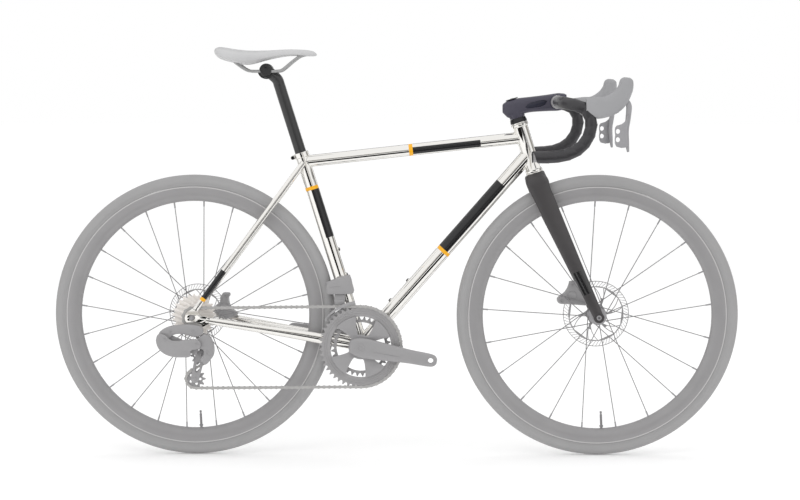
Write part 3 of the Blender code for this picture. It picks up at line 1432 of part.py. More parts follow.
def saddle():
    rings = []
    grow, swell = SADDLE_LENGTH / 0.245, SADDLE_WIDTH / 0.145
    for run, crown, edge, under, half in SADDLE_STATIONS:
        ring = []
        for i in range(10):
            turn = 2 * math.pi * (i + 0.5) / 10
            y = math.copysign(abs(math.cos(turn)) ** 0.8, math.cos(turn)) * half * swell
            rise = abs(math.sin(turn)) ** 0.8
            z = edge + (crown - edge) * rise if math.sin(turn) > 0 else edge + (under - edge) * rise
            ring.append(SADDLE_BASE + Vector((run * grow, y, z)))
        rings.append(ring)
    cage = loft("saddle", rings)
    soft = cage.modifiers.new("soft", "SUBSURF")
    soft.levels = soft.render_levels = 1
    cage = baked(cage)
    cage = cut(cage, saddle_rails("cutter", round_hole(RAIL_RADIUS, 12) + GAP, 2 * GAP))
    done(cage, SADDLE_GREY, SADDLE_TILT)
    done(saddle_rails("saddle_rails", RAIL_RADIUS), GREY_METAL, SADDLE_TILT)


def saddle_clamp():
    half, edge = 0.0165, RAIL_SPACING / 2 + 0.0055
    profile = [
        (0, edge), (EAR_RADIUS, edge), (EAR_RADIUS, half), (DRUM_RADIUS, half), (DRUM_RADIUS, -half),
        (EAR_RADIUS, -half), (EAR_RADIUS, -edge), (0, -edge),
    ]
    drum = turned("saddle_clamp", profile, CLAMP_CENTRE, LEFT, 14)
    for side in (1, -1):
        rail = CLAMP_CENTRE + LEFT * side * RAIL_SPACING / 2 - UP * RAIL_DROP
        reach = FORWARD * 0.02
        drum = cut(drum, cylinder("cutter", rail - reach, rail + reach, round_hole(RAIL_RADIUS + GAP, 6), 6))
    done(drum, GREY_METAL, SADDLE_TILT)


seatpost()
saddle_clamp()
saddle()

# --- Rear derailleur ----------------------------------------------------------------------------

CAGE_HALF = 0.0060  # from the pulleys' middle to the cage plates
CAGE_PLATE = 0.0016
CAGE_PIVOT = GUIDE + Vector((0.014, 0, 0.001))
DROPOUT_OUTER = -(REAR_INNER + DROPOUT_THICKNESS)
LINK_REAR = REAR_AXLE + Vector((-0.060, 0, -0.047))
LINK_FRONT = LINK_REAR + Vector((0.075, 0, -0.032))
OUTER_LINK_Y, INNER_LINK_Y = DROPOUT_OUTER - 0.018, DROPOUT_OUTER - 0.006
LINK_THICKNESS = 0.0036
LINK_END = 0.00075  # from a pivot to the knuckle's face, so that the link's corners clear it
LINK_HALF_HEIGHT = 0.011


def tapered(a, half_a, b, half_b, count=5):
    """A flat outline with round ends of two sizes about two points."""
    aim = math.atan2(b.z - a.z, b.x - a.x)
    points = [point_on(b, half_b, aim - math.pi / 2 + math.pi * i / (count - 1)) for i in range(count)]
    return points + [point_on(a, half_a, aim + math.pi / 2 + math.pi * i / (count - 1)) for i in range(count)]


def link_outline():
    """A link seen from the side: square ends at its two pivots."""
    line = (LINK_FRONT - LINK_REAR).normalized()
    across = Vector((-line.z, 0, line.x)) * LINK_HALF_HEIGHT
    short = line * 0.0002
    corners = (LINK_REAR + short - across, LINK_FRONT - short - across)
    corners += (LINK_FRONT - short + across * 0.9, LINK_REAR + short + across)
    return [(p.x, p.z) for p in corners]


def rear_derailleur():
    hanger_joint = joint("rd_b_pivot", HANGER)
    rear_link = joint("rd_link_rear_pivot", LINK_REAR + LEFT * OUTER_LINK_Y)
    front_link = joint("rd_link_front_pivot", LINK_FRONT + LEFT * OUTER_LINK_Y)
    cage_joint = joint("rd_cage_pivot", CAGE_PIVOT)
    chained = ((rear_link, hanger_joint), (front_link, rear_link), (cage_joint, front_link))
    bpy.context.view_layer.update()
    for child, parent in chained:
        child.parent = parent
        child.matrix_parent_inverse = parent.matrix_world.inverted()
        bpy.context.view_layer.update()

    line = (LINK_FRONT - LINK_REAR).normalized()
    face = DROPOUT_OUTER - GAP
    deep = abs(OUTER_LINK_Y - LINK_THICKNESS / 2) + 0.001
    middle, thick = -(abs(face) + deep) / 2, deep - abs(face)
    across = Vector((-line.z, 0, line.x))
    rear_top = LINK_REAR - line * 0.009 + UP * 0.021
    arm = plate("rd_b_knuckle", [tapered(rear_top, 0.0075, HANGER, 0.0115)], middle, thick)
    face_in = LINK_REAR - line * LINK_END
    back = LINK_REAR - line * 0.0165
    corners = (face_in - across * 0.0125, face_in + across * 0.0200, back + across * 0.0200)
    corners += (back - across * 0.0060, back + line * 0.005 - across * 0.0125)
    block = plate("block", [[(p.x, p.z) for p in corners]], middle, thick)
    done(fuse(arm, block), GREY, hanger_joint)
    for name, y in (("rd_outer_link", OUTER_LINK_Y), ("rd_inner_link", INNER_LINK_Y)):
        done(plate(name, [link_outline()], y, LINK_THICKNESS), GREY, rear_link)

    cage_outer = OUTER_COG_Y - CAGE_HALF
    knuckle_in = cage_outer - CAGE_PLATE - GAP
    middle, thick = -(abs(knuckle_in) + deep) / 2, deep - abs(knuckle_in)
    face_in = LINK_FRONT + line * LINK_END
    outline = [point_on(CAGE_PIVOT, 0.0110, math.radians(a)) for a in (-110, -75, -40, -5, 30, 65, 90)]
    outline += [(p.x, p.z) for p in (face_in + across * 0.0125, face_in - across * 0.0125)]
    done(plate("rd_p_knuckle", [outline], middle, thick), GREY, front_link)

    plates = []
    cage_inner = OUTER_COG_Y + CAGE_HALF
    for y, half in ((cage_outer - CAGE_PLATE / 2, 0.0095), (cage_inner + CAGE_PLATE / 2, 0.0080)):
        shape = plate("rd_cage", [tapered(GUIDE, half + 0.002, TENSION, half)], y, CAGE_PLATE)
        if y < OUTER_COG_Y:
            shape = fuse(shape, plate("eye", [tapered(GUIDE, 0.0110, CAGE_PIVOT, 0.0110)], y, CAGE_PLATE))
        plates.append(shape)
    cage = plates[0]
    for centre in (GUIDE, TENSION):
        reach = LEFT * (CAGE_HALF + CAGE_PLATE / 2)
        at = centre + LEFT * OUTER_COG_Y
        cage = fuse(cage, cylinder("bolt", at - reach, at + reach, 0.0025, 10))
    done(fuse(cage, plates[1]), GREY, cage_joint)

    for name, centre in (("guide_pulley", GUIDE), ("tension_pulley", TENSION)):
        outline = toothed(centre, PULLEY_TEETH, pin_turn(centre, PULLEY_TEETH), False)
        wheel = plate(name, [outline], OUTER_COG_Y, 0.0017)
        reach = LEFT * (CAGE_HALF - GAP)
        at = centre + LEFT * OUTER_COG_Y
        hub = cylinder("hub", at - reach, at + reach, 0.0075, 12)
        hole = cylinder("cutter", at - reach * 2, at + reach * 2, round_hole(0.0025 + RUNNING_GAP, 10), 10)
        spin = joint(name + "_spin", at)
        bpy.context.view_layer.update()
        spin.parent = cage_joint
        spin.matrix_parent_inverse = cage_joint.matrix_world.inverted()
        done(cut(fuse(wheel, hub), hole), GREY, spin)


rear_derailleur()

# --- Front derailleur ---------------------------------------------------------------------------

FD_HEIGHT = 0.1490  # of the body's middle above the bottom bracket
FD_LINK_Y = -0.0365
FD_OUTER_Y, FD_INNER_Y = -0.0538, -0.0416
FD_PLATE = 0.0010


def front_derailleur():
    tube = BB + SEAT_UP * (FD_HEIGHT / SEAT_UP.z)
    link_top = Vector((tube.x - 0.004, FD_LINK_Y, BB.z + 0.1240))
    link_low = link_top + Vector((0, -0.0030, -0.0160))
    upper = joint("fd_link_pivot", link_top)
    lower = joint("fd_cage_pivot", link_low)
    bpy.context.view_layer.update()
    lower.parent = upper
    lower.matrix_parent_inverse = upper.matrix_world.inverted()

    low, high = (tube.x - 0.036, -0.0470, BB.z + 0.1258), (tube.x + 0.029, -0.0235, BB.z + 0.1720)
    body = box("front_derailleur_body", low, high, 0.004)
    low, high = (tube.x - 0.012, -0.0260, BB.z + 0.1300), (tube.x + 0.012, -0.0080, BB.z + 0.1680)
    tongue = box("tongue", low, high, 0.001)
    done(fuse(body, cut(tongue, seat_tube_cutter())), GREY)
    swing = math.atan2(link_top.y - link_low.y, link_top.z - link_low.z)
    link = box("front_derailleur_link", (-0.013, -0.0022, -0.0095), (0.013, 0.0022, 0.0095), 0.0008)
    link.rotation_euler = (-swing, 0, 0)
    link.location = (link_top + link_low) / 2
    bpy.context.view_layer.update()
    done(link, GREY, upper)

    top, over_ring = BB.z + 0.1060, pitch_radius(BIG_RING_TEETH) + 0.0045
    rear, front = tube.x - 0.048, tube.x + 0.028
    outline = [point_on(BB, over_ring, math.radians(a)) for a in (99, 112, 123, 131)]
    outline += [(rear, BB.z + 0.079), (rear, BB.z + 0.093), (rear + 0.020, top)]
    outline += [(front - 0.012, top), (front, top - 0.003)]
    cage = plate("front_derailleur_cage", [outline], FD_OUTER_Y, FD_PLATE)
    inner = plate("inner", [outline], FD_INNER_Y, FD_PLATE)
    bridge_low, bridge_high = top - 0.0020, top + 0.0003
    bridge = box(
        "bridge", (tube.x - 0.020, FD_OUTER_Y, bridge_low - 0.0015), (tube.x + 0.004, FD_INNER_Y, bridge_high)
    )
    done(fuse(cage, bridge, inner), GREY_METAL, lower)


front_derailleur()
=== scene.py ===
"""The looks of a road bicycle with polished steel tubes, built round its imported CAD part.

The file follows the bicycle as it is put together. Metres, +X forward, +Y to the rider's left, +Z up.
"""
import math

import bmesh
import bpy
from mathutils import Matrix, Vector


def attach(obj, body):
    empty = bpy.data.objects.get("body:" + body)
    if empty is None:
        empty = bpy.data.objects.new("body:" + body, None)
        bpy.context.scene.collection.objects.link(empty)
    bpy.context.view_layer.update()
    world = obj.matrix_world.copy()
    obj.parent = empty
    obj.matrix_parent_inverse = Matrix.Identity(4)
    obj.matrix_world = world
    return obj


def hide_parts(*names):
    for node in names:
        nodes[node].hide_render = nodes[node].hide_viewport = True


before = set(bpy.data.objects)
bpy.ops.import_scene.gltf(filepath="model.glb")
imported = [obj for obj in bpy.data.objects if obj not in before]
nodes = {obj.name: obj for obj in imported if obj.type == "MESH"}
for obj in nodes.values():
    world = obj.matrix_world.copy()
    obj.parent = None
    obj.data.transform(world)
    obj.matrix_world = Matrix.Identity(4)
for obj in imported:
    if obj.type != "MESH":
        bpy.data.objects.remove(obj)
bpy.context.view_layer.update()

# --- Studio -------------------------------------------------------------------------------------
# A white room with a white floor. Polished tubes would vanish in it, so dark cards stand round the
# bicycle as a photographer places them, and only reflections show them.

bpy.context.scene.view_settings.view_transform = "Standard"

LOOK_AT = Vector((0.0098, 0, 0.4961))
VIEW_BACK = Vector((0.0157, -0.9971, 0.075)).normalized()
bpy.ops.object.select_all(action="DESELECT")
bpy.ops.object.camera_add(location=LOOK_AT + VIEW_BACK * 4.9, rotation=VIEW_BACK.to_track_quat("Z", "Y").to_euler())
camera = bpy.context.object
camera.data.lens = 91.5
camera.data.clip_end = 200
bpy.context.scene.camera = camera

room = bpy.data.worlds.new("white_room")
room.use_nodes = True
background = room.node_tree.nodes["Background"]
background.inputs["Color"].default_value = (1, 1, 1, 1)


def wired(tree, kind, settings, *feeds):
    """Adds a node with its settings, and links each feed to the input of that name or number."""
    node = tree.nodes.new("ShaderNode" + kind)
    for key, value in settings.items():
        setattr(node, key, value)
    for key, output in feeds:
        tree.links.new(output, node.inputs[key])
    return node


paths = wired(room.node_tree, "LightPath", {})
seen = wired(
    room.node_tree, "Math", {"operation": "MAXIMUM"},
    (0, paths.outputs["Is Camera Ray"]), (1, paths.outputs["Is Transmission Ray"]),
)
bright = wired(
    room.node_tree, "Math", {"operation": "MAXIMUM"}, (0, seen.outputs[0]), (1, paths.outputs["Is Glossy Ray"]),
)
strength = wired(room.node_tree, "MapRange", {}, ("Value", bright.outputs[0]))
strength.inputs["To Min"].default_value = 0.95
strength.inputs["To Max"].default_value = 1.0
room.node_tree.links.new(strength.outputs[0], background.inputs["Strength"])
bpy.context.scene.world = room

for lamp, place, aim, size, power in (
    ("key", (-1.6, -3.4, 3.6), (0, 0, 0.4), 2.6, 22),
    ("top", (0.6, 0.6, 4.2), (0, 0, 0.3), 3.0, 16),
):
    bpy.ops.object.light_add(type="AREA", location=place)
    light = bpy.context.object
    light.name = lamp + "_light"
    light.rotation_euler = (Vector(place) - Vector(aim)).to_track_quat("Z", "Y").to_euler()
    light.data.size = size
    light.data.energy = power
    light.visible_glossy = False

bpy.ops.mesh.primitive_plane_add(size=120, location=(0, 0, -0.0004))
floor = bpy.context.object
floor.name = "floor"
white = bpy.data.materials.new("floor_white")
white.use_nodes = True
for socket, value in (
    ("Base Color", (0.93, 0.93, 0.93, 1)), ("Roughness", 0.9), ("Specular IOR Level", 0.1),
    ("Emission Color", (1, 1, 1, 1)), ("Emission Strength", 0.13),
):
    white.node_tree.nodes["Principled BSDF"].inputs[socket].default_value = value
floor.data.materials.append(white)

# Each card: its middle, its width and height, how far it leans back, and its grey.
for number, (place, wide, tall, lean, grey) in enumerate((
    ((0.35, -5.7, 0.42), 4.4, 1.1, 0, 0.008),
    ((0.0, -5.8, 1.5), 8.0, 0.6, 0, 0.6),
    ((1.35, -1.7, 0.003), 4.3, 1.8, 90, 0.012),
    ((0.0, 0.85, 0.003), 6.0, 0.5, 90, 0.25),
    ((0.0, 6.0, 0.75), 9.0, 1.3, 0, 0.03),
    ((0.0, 5.5, 4.2), 9.0, 2.6, 0, 0.02),
    ((-5.2, 0.9, 1.2), 4.6, 3.2, 0, 0.05),
    ((5.2, 1.2, 1.2), 4.0, 3.2, 0, 0.33),
)):
    turn = 0 if lean else math.atan2(place[1], place[0]) + math.pi / 2
    bpy.ops.mesh.primitive_plane_add(size=1, location=place, rotation=(math.pi / 2 - math.radians(lean), 0, turn))
    card = bpy.context.object
    card.name = f"card_{number}"
    card.scale = (wide, tall, 1)
    shade = bpy.data.materials.new(card.name)
    shade.use_nodes = True
    shade.node_tree.nodes.remove(shade.node_tree.nodes["Principled BSDF"])
    glow = wired(shade.node_tree, "Emission", {})
    glow.inputs["Color"].default_value = (grey, grey * 0.97, grey * 0.92, 1)
    shade.node_tree.links.new(glow.outputs[0], shade.node_tree.nodes["Material Output"].inputs["Surface"])
    card.data.materials.append(shade)
    card.visible_camera = card.visible_diffuse = card.visible_shadow = False
    card.visible_transmission = False

# --- Frame tubes --------------------------------------------------------------------------------
# Round steel tubes, mitred against each other, welded with a fine bead and polished to a mirror.
# Part of the top, down and seat tubes is masked and painted gloss black, closed off by a yellow band.


class Wire:
    """What comes out of a shader node, so that sums can be written as they are said."""

    def __init__(self, finish, socket):
        self.finish, self.socket = finish, socket

    def sum(self, work, a, b=0.0):
        return self.finish.node("Math", {"operation": work}, a, b)

    def __add__(self, other):
        return self.sum("ADD", self, other)

    def __sub__(self, other):
        return self.sum("SUBTRACT", self, other)

    def __rsub__(self, other):
        return self.sum("SUBTRACT", other, self)

    def __mul__(self, other):
        return self.sum("MULTIPLY", self, other)

    def __truediv__(self, other):
        return self.sum("DIVIDE", self, other)

    def __gt__(self, other):
        return self.sum("GREATER_THAN", self, other)

    def __lt__(self, other):
        return self.sum("LESS_THAN", self, other)

    __radd__, __rmul__ = __add__, __mul__


class Finish:
    """A material under construction: its Principled shader, and one method that adds any other node."""

    def __init__(self, name, colour, roughness, metallic=0.0, **fixed):
        self.made = bpy.data.materials.new(name)
        self.made.use_nodes = True
        self.tree = self.made.node_tree
        self.shader = self.tree.nodes["Principled BSDF"]
        self.set(Base_Color=(*colour, 1), Roughness=roughness, Metallic=metallic, **fixed)

    def node(self, kind, settings=None, *values, out=0, **named):
        made = self.tree.nodes.new("ShaderNode" + kind)
        for key, value in (settings or {}).items():
            if key == "stops":
                ramp = made.color_ramp.elements
                while len(ramp) < len(value):
                    ramp.new(0.5)
                for stop, (place, colour) in zip(ramp, value):
                    stop.position, stop.color = place, (*colour, 1)
            else:
                setattr(made, key, value)
        for key, value in [*enumerate(values), *named.items()]:
            self.feed(made.inputs[key.replace("_", " ") if isinstance(key, str) else key], value)
        return Wire(self, made.outputs[out])

    def feed(self, socket, value):
        if isinstance(value, Wire):
            self.tree.links.new(value.socket, socket)
        else:
            socket.default_value = value

    def set(self, **sockets):
        for key, value in sockets.items():
            self.feed(self.shader.inputs[key.replace("_", " ")], value)
        return self

    def place(self):
        return self.node("TexCoord", out="Object")

    def along(self, start, way):
        """How far a point lies along a direction from a start, in metres."""
        way = Vector(way).normalized()
        run = self.node("VectorMath", {"operation": "DOT_PRODUCT"}, self.place(), way, out="Value")
        return run - Vector(start).dot(way)

    def noise(self, scale, detail=2.0):
        return self.node("TexNoise", None, Vector=self.place(), Scale=scale, Detail=detail, out="Fac")

    def dots(self, scale):
        return self.node("TexVoronoi", None, Vector=self.place(), Scale=scale, out="Distance")

    def lathed(self, centre, scale):
        """Fine turned rings about a centre."""
        run = self.node("VectorMath", {"operation": "DISTANCE"}, self.place(), centre, out="Value")
        return self.node("Math", {"operation": "SINE"}, run * scale)

    def mix(self, share, a, b):
        """One colour turning into another as share goes from 0 to 1."""
        a, b = [(*c, 1) if isinstance(c, tuple) and len(c) == 3 else c for c in (a, b)]
        made = self.tree.nodes.new("ShaderNodeMix")
        made.data_type = "RGBA"
        for socket, value in ((0, share), (6, a), (7, b)):
            self.feed(made.inputs[socket], value)
        return Wire(self, made.outputs[2])

    def bump(self, height, strength=0.2, distance=0.001):
        made = self.node("Bump", None, Height=height, Strength=strength, Distance=distance)
        return self.set(Normal=made)

    def cloudy(self, scale, low, high, detail=3.0, haze=None):
        """The colour drifts between two tones, and the roughness with it from haze's first value up."""
        cloud = self.noise(scale, detail)
        if haze:
            self.set(Roughness=haze[0] + cloud * haze[1])
        return self.set(Base_Color=self.mix(cloud, low, high))

    def hazy(self, scale, low, spread):
        """The roughness drifts, from its lowest value up."""
        return self.set(Roughness=low + self.noise(scale) * spread)

    def grainy(self, scale, strength, distance=0.0002):
        """A fine grain in the surface."""
        return self.bump(self.noise(scale), strength, distance)


def steel(name, axis=(0, 0, 1), start=(0, 0, 0), panel=None, band=None, flank=(-1, 1)):
    """Polished steel. panel and band are painted, between two distances along the tube. The panel covers
    only a flank of it, between two distances across it as seen from the side."""
    made = Finish(name, (0.86, 0.845, 0.81), 0.05, 1.0)
    haze = made.noise(9.0, 3.0)
    rough = 0.035 + haze * 0.05
    colour = made.mix(haze * 0.5, (0.9, 0.885, 0.855), (0.8, 0.785, 0.75))
    if panel:
        run = made.along(start, axis)
        across = made.along(start, (-axis[2], 0, axis[0]))
        painted = (run > panel[0]) * (run < panel[1]) * (across > flank[0]) * (across < flank[1])
        yellow = (run > band[0]) * (run < band[1])
        painted = painted + yellow - painted * yellow
        colour = made.mix(painted, colour, (0.012, 0.012, 0.013))
        colour = made.mix(yellow, colour, (0.9, 0.44, 0.012))
        rough = rough + painted * (0.1 + haze * 0.06)
        made.set(Metallic=1 - painted)
    made.set(Base_Color=colour, Roughness=rough)
    return made.bump(made.noise(420.0, 1.0), 0.005, 0.0002).made


def begin(name):
    """Takes over the object that was just added."""
    piece = bpy.context.object
    piece.name = piece.data.name = name
    return piece


def choose(*pieces):
    """Selects these pieces and nothing else, the first of them active."""
    bpy.ops.object.select_all(action="DESELECT")
    for piece in pieces:
        piece.select_set(True)
        bpy.context.view_layer.objects.active = pieces[0]


def settle(piece):
    """Puts the piece's place and turn into its mesh."""
    choose(piece)
    bpy.ops.object.transform_apply(location=True, rotation=True, scale=True)
    return piece


def rod(name, start, end, radius, sides=64):
    start, end = Vector(start), Vector(end)
    choose()
    bpy.ops.mesh.primitive_cylinder_add(
        vertices=sides, radius=radius, depth=(end - start).length, location=(start + end) / 2,
        rotation=(end - start).to_track_quat("Z", "Y").to_euler(),
    )
    return settle(begin(name))


def worn(piece, *works):
    """Applies modifiers in turn: each is a kind and its settings."""
    for kind, settings in works:
        step = piece.modifiers.new(kind.lower(), kind)
        for key, value in settings.items():
            setattr(step, key, value)
        bpy.context.view_layer.objects.active = piece
        bpy.ops.object.modifier_apply(modifier=step.name)
    return piece


def joined(piece, others, work="DIFFERENCE"):
    """Cuts the others out of a piece, or joins them to it, and uses them up."""
    for other in others:
        worn(piece, ("BOOLEAN", {"operation": work, "object": other, "solver": "EXACT"}))
        bpy.data.objects.remove(other)
    return piece


def dressed(piece, body, material, *stands_for, smooth=35, slot=None):
    """Gives a finished piece its material and its body, and hides the CAD nodes that it stands for."""
    piece.data.materials.clear()
    piece.data.materials.append(material)
    choose(piece)
    bpy.ops.object.shade_smooth_by_angle(angle=math.radians(smooth))
    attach(piece, body)
    if stands_for:
        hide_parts(*stands_for)
    return piece


def traced(name, points, closed):
    """Draws a line point by point, joins its ends if it is closed, and stays in edit mode."""
    choose()
    bpy.ops.mesh.primitive_plane_add(size=0.01)
    piece = begin(name)
    bpy.ops.object.mode_set(mode="EDIT")
    bpy.ops.mesh.merge(type="CENTER")
    bpy.ops.transform.translate(value=points[0])
    for here, there in zip(points, points[1:]):
        move = {"value": [b - a for a, b in zip(here, there)]}
        bpy.ops.mesh.extrude_vertices_move(TRANSFORM_OT_translate=move)
    bpy.ops.mesh.select_all(action="SELECT")
    if closed:
        ends = bmesh.from_edit_mesh(piece.data)
        ends.verts.ensure_lookup_table()
        for vert in ends.verts:
            vert.select = vert.index in (0, len(ends.verts) - 1)
        ends.select_flush(False)
        bpy.ops.mesh.edge_face_add()
        bpy.ops.mesh.select_all(action="SELECT")
    return piece


def outward(doubles=False):
    """Turns every face outwards, with doubled points merged if asked, and leaves edit mode."""
    bpy.ops.mesh.select_all(action="SELECT")
    if doubles:
        bpy.ops.mesh.remove_doubles(threshold=0.000005)
    bpy.ops.mesh.normals_make_consistent(inside=False)
    bpy.ops.object.mode_set(mode="OBJECT")


def spun(name, profile, centre, way=(0, 1, 0), steps=64, closed=False):
    """Spins a profile of (radius, distance along the axis) round a full turn."""
    piece = traced(name, [(r, 0, h) for r, h in profile], closed)
    bpy.ops.mesh.spin(steps=steps, angle=2 * math.pi, center=(0, 0, 0), axis=(0, 0, 1))
    outward(doubles=True)
    piece.rotation_euler = Vector(way).to_track_quat("Z", "Y").to_euler()
    piece.location = centre
    return settle(piece)


def threaded(curve, points):
    """Adds a spline through points to a curve."""
    spline = curve.splines.new("POLY")
    spline.points.add(len(points) - 1)
    for knot, point in zip(spline.points, points):
        knot.co = (*point, 1)
    return spline


def drawn(name, points, radius, closed=False, sides=3, radii=None):
    """A round wire along points, from a curve with a bevel."""
    choose()
    bpy.ops.curve.primitive_bezier_curve_add()
    piece = begin(name)
    line = piece.data
    line.splines.clear()
    spline = threaded(line, points)
    for i, radius_here in enumerate(radii or ()):
        spline.points[i].radius = radius_here
    spline.use_cyclic_u = closed
    line.bevel_depth, line.bevel_resolution, line.use_fill_caps = radius, sides, True
    piece.location = (0, 0, 0)
    bpy.ops.object.convert(target="MESH")
    return settle(piece)


def mirrored(half):
    """A profile whose second half is the first one, turned over."""
    return [*half, *((r, -y) for r, y in reversed(half))]


def weld(name, start, way, radius, other, other_way, other_radius, proud=0.0011):
    """The bead where a tube meets another: the ring of points at which its wall enters that tube."""
    way, other_way = Vector(way).normalized(), Vector(other_way).normalized()
    wide = way.cross(Vector((0, 1, 0))).normalized()
    high = way.cross(wide)
    flat = way - other_way * way.dot(other_way)
    points = []
    for i in range(96):
        turn = 2 * math.pi * i / 96
        foot = Vector(start) + (wide * math.cos(turn) + high * math.sin(turn)) * radius
        off = foot - Vector(other)
        off -= other_way * off.dot(other_way)
        b, c = off.dot(flat), off.length_squared - other_radius**2
        run = (-b + math.sqrt(max(b * b - flat.length_squared * c, 0))) / flat.length_squared
        points.append(foot + way * run)
    return drawn(name, points, proud, closed=True, sides=2)


BB = Vector((-0.083403, 0, 0.267))
SEAT_TOP = Vector((-0.228887, 0, 0.731238))
SEAT_UP = Vector((-0.299041, 0, 0.95424))
HEAD_LOW, HEAD_TOP = Vector((0.33177, 0, 0.685043)), Vector((0.295965, 0, 0.799577))
HEAD_UP = Vector((-0.298375, 0, 0.954449))
LEFT = Vector((0, 1, 0))
TOP_R, DOWN_R, SEAT_R, HEAD_R, SHELL_R = 0.0143, 0.0175, 0.0159, 0.018, 0.02


def crossing(name, centre, reach, radius, sides=64):
    """A rod that lies across the bicycle and reaches as far on both sides."""
    return rod(name, centre - LEFT * reach, centre + LEFT * reach, radius, sides)


top_start, top_end = SEAT_TOP - SEAT_UP * 0.0235, HEAD_TOP - HEAD_UP * 0.034
down_end = HEAD_LOW + HEAD_UP * 0.044
top_way, down_way = (top_end - top_start).normalized(), (down_end - BB).normalized()

seat_core = rod("seat_core", BB - SEAT_UP * 0.05, SEAT_TOP + SEAT_UP * 0.05, SEAT_R)
head_core = rod("head_core", HEAD_LOW - HEAD_UP * 0.02, HEAD_TOP + HEAD_UP * 0.02, HEAD_R)
top_tube = joined(rod("top_tube_polished", top_start, top_end, TOP_R, 96), [seat_core, head_core])
dressed(
    top_tube, "frame", steel(
        "top_tube_steel", top_way, top_start, (0.256, 0.4272), (0.2547, 0.264), (-0.0107, 0.006),
    ),
    "top_tube", slot="polished_steel",
)
down_cores = [
    rod("seat_core", BB - SEAT_UP * 0.05, SEAT_TOP, SEAT_R),
    rod("head_core", HEAD_LOW - HEAD_UP * 0.02, HEAD_TOP, HEAD_R),
    crossing("shell_core", BB, 0.05, SHELL_R),
]
down_tube = joined(rod("down_tube_polished", BB, down_end, DOWN_R, 96), down_cores)
dressed(
    down_tube, "frame", steel("down_tube_steel", down_way, BB, (0.299, 0.515), (0.2975, 0.306), (-0.008, 0.02)),
    "down_tube", slot="polished_steel",
)
seat_profile = [
    (0.0, 0.0), (SEAT_R, 0.0), (SEAT_R, 0.473), (SEAT_R + 0.001, 0.4734), (SEAT_R + 0.0022, 0.4742),
    (SEAT_R + 0.0022, 0.4848), (SEAT_R + 0.0016, 0.4856), (SEAT_R + 0.0006, 0.4862), (SEAT_R - 0.0018, 0.4862),
    (SEAT_R - 0.0018, 0.44), (0.0, 0.44),
]
seat_tube = spun("seat_tube_polished", seat_profile, BB, SEAT_UP, 96)
seat_tube = joined(seat_tube, [crossing("shell_core", BB, 0.05, SHELL_R)])
dressed(
    seat_tube, "frame", steel("seat_tube_steel", SEAT_UP, BB, (0.2717, 0.4), (0.3925, 0.401), (-0.02, 0.0024)),
    "seat_tube", slot="polished_steel",
)
lip = 0.0205
head_profile = [
    (0.0155, 0.0), (lip, 0.0), (lip + 0.0002, 0.0008), (lip, 0.0048), (HEAD_R + 0.0007, 0.0064), (HEAD_R, 0.0082),
    (HEAD_R, 0.1118), (HEAD_R + 0.0007, 0.1136), (lip, 0.1152), (lip + 0.0002, 0.1192), (lip, 0.12), (0.0155, 0.12),
]
head_tube = spun("head_tube_polished", head_profile, HEAD_LOW, HEAD_UP, 96, closed=True)
head_steel = steel("head_tube_steel", HEAD_UP)
dressed(head_tube, "frame", head_steel, "head_tube", slot="polished_steel")
shell_profile = mirrored([(0.0125, -0.0445), (0.0216, -0.0445), (0.022, -0.0441), (0.022, -0.0346), (0.02, -0.034)])
shell = spun("bottom_bracket_polished", shell_profile, BB, LEFT, 64, closed=True)
dressed(shell, "frame", head_steel, "bottom_bracket_shell", slot="polished_steel")

bead_steel = steel("weld_bead_steel")
beads = (
    ("top_to_seat", top_end, -top_way, TOP_R, BB, SEAT_UP, SEAT_R),
    ("top_to_head", top_start, top_way, TOP_R, HEAD_LOW, HEAD_UP, HEAD_R),
    ("down_to_head", BB, down_way, DOWN_R, HEAD_LOW, HEAD_UP, HEAD_R),
    ("seat_to_shell", SEAT_TOP, -SEAT_UP, SEAT_R, BB, LEFT, SHELL_R),
    ("down_to_shell", down_end, -down_way, DOWN_R, BB, LEFT, SHELL_R),
)
for name, start, way, radius, other, other_way, other_radius in beads:
    # The far wall would be found first, so the sum starts from beyond the joint.
    bead = weld("weld_" + name, start, [-w for w in way], radius, other, other_way, other_radius)
    dressed(bead, "frame", bead_steel, slot="polished_steel")

# --- Chainstays, seatstays and dropouts ---------------------------------------------------------
# Tapered steel stays that bend out past the tyre, brazed to forged dropouts which take the axle.
# They are polished like the main tubes, and the right seatstay has its own yellow and black paint.

FORWARD, UP = Vector((1, 0, 0)), Vector((0, 0, 1))
REAR_AXLE, FRONT_AXLE = Vector((-0.485, 0, 0.339)), Vector((0.485, 0, 0.339))
AXLE_BORE, DROPOUT_OUT = 0.0063, 0.074
STAY_LOW, HANGER = REAR_AXLE + Vector((0.0075, 0, 0.0185)), REAR_AXLE + Vector((0.006, 0, -0.029))


def eased(rows, steps):
    """Rows of numbers with more rows between them, on a smooth curve through them all."""
    rows, made = [list(r) for r in rows], []
    for i in range(len(rows) - 1):
        a, b, c, d = rows[max(i - 1, 0)], rows[i], rows[i + 1], rows[min(i + 2, len(rows) - 1)]
        for k in range(steps):
            t = k / steps
            made.append([
                0.5 * (2 * q + (r - p) * t + (2 * p - 5 * q + 4 * r - s) * t * t + (3 * q - p - 3 * r + s) * t**3)
                for p, q, r, s in zip(a, b, c, d)
            ])
    return made + [rows[-1]]


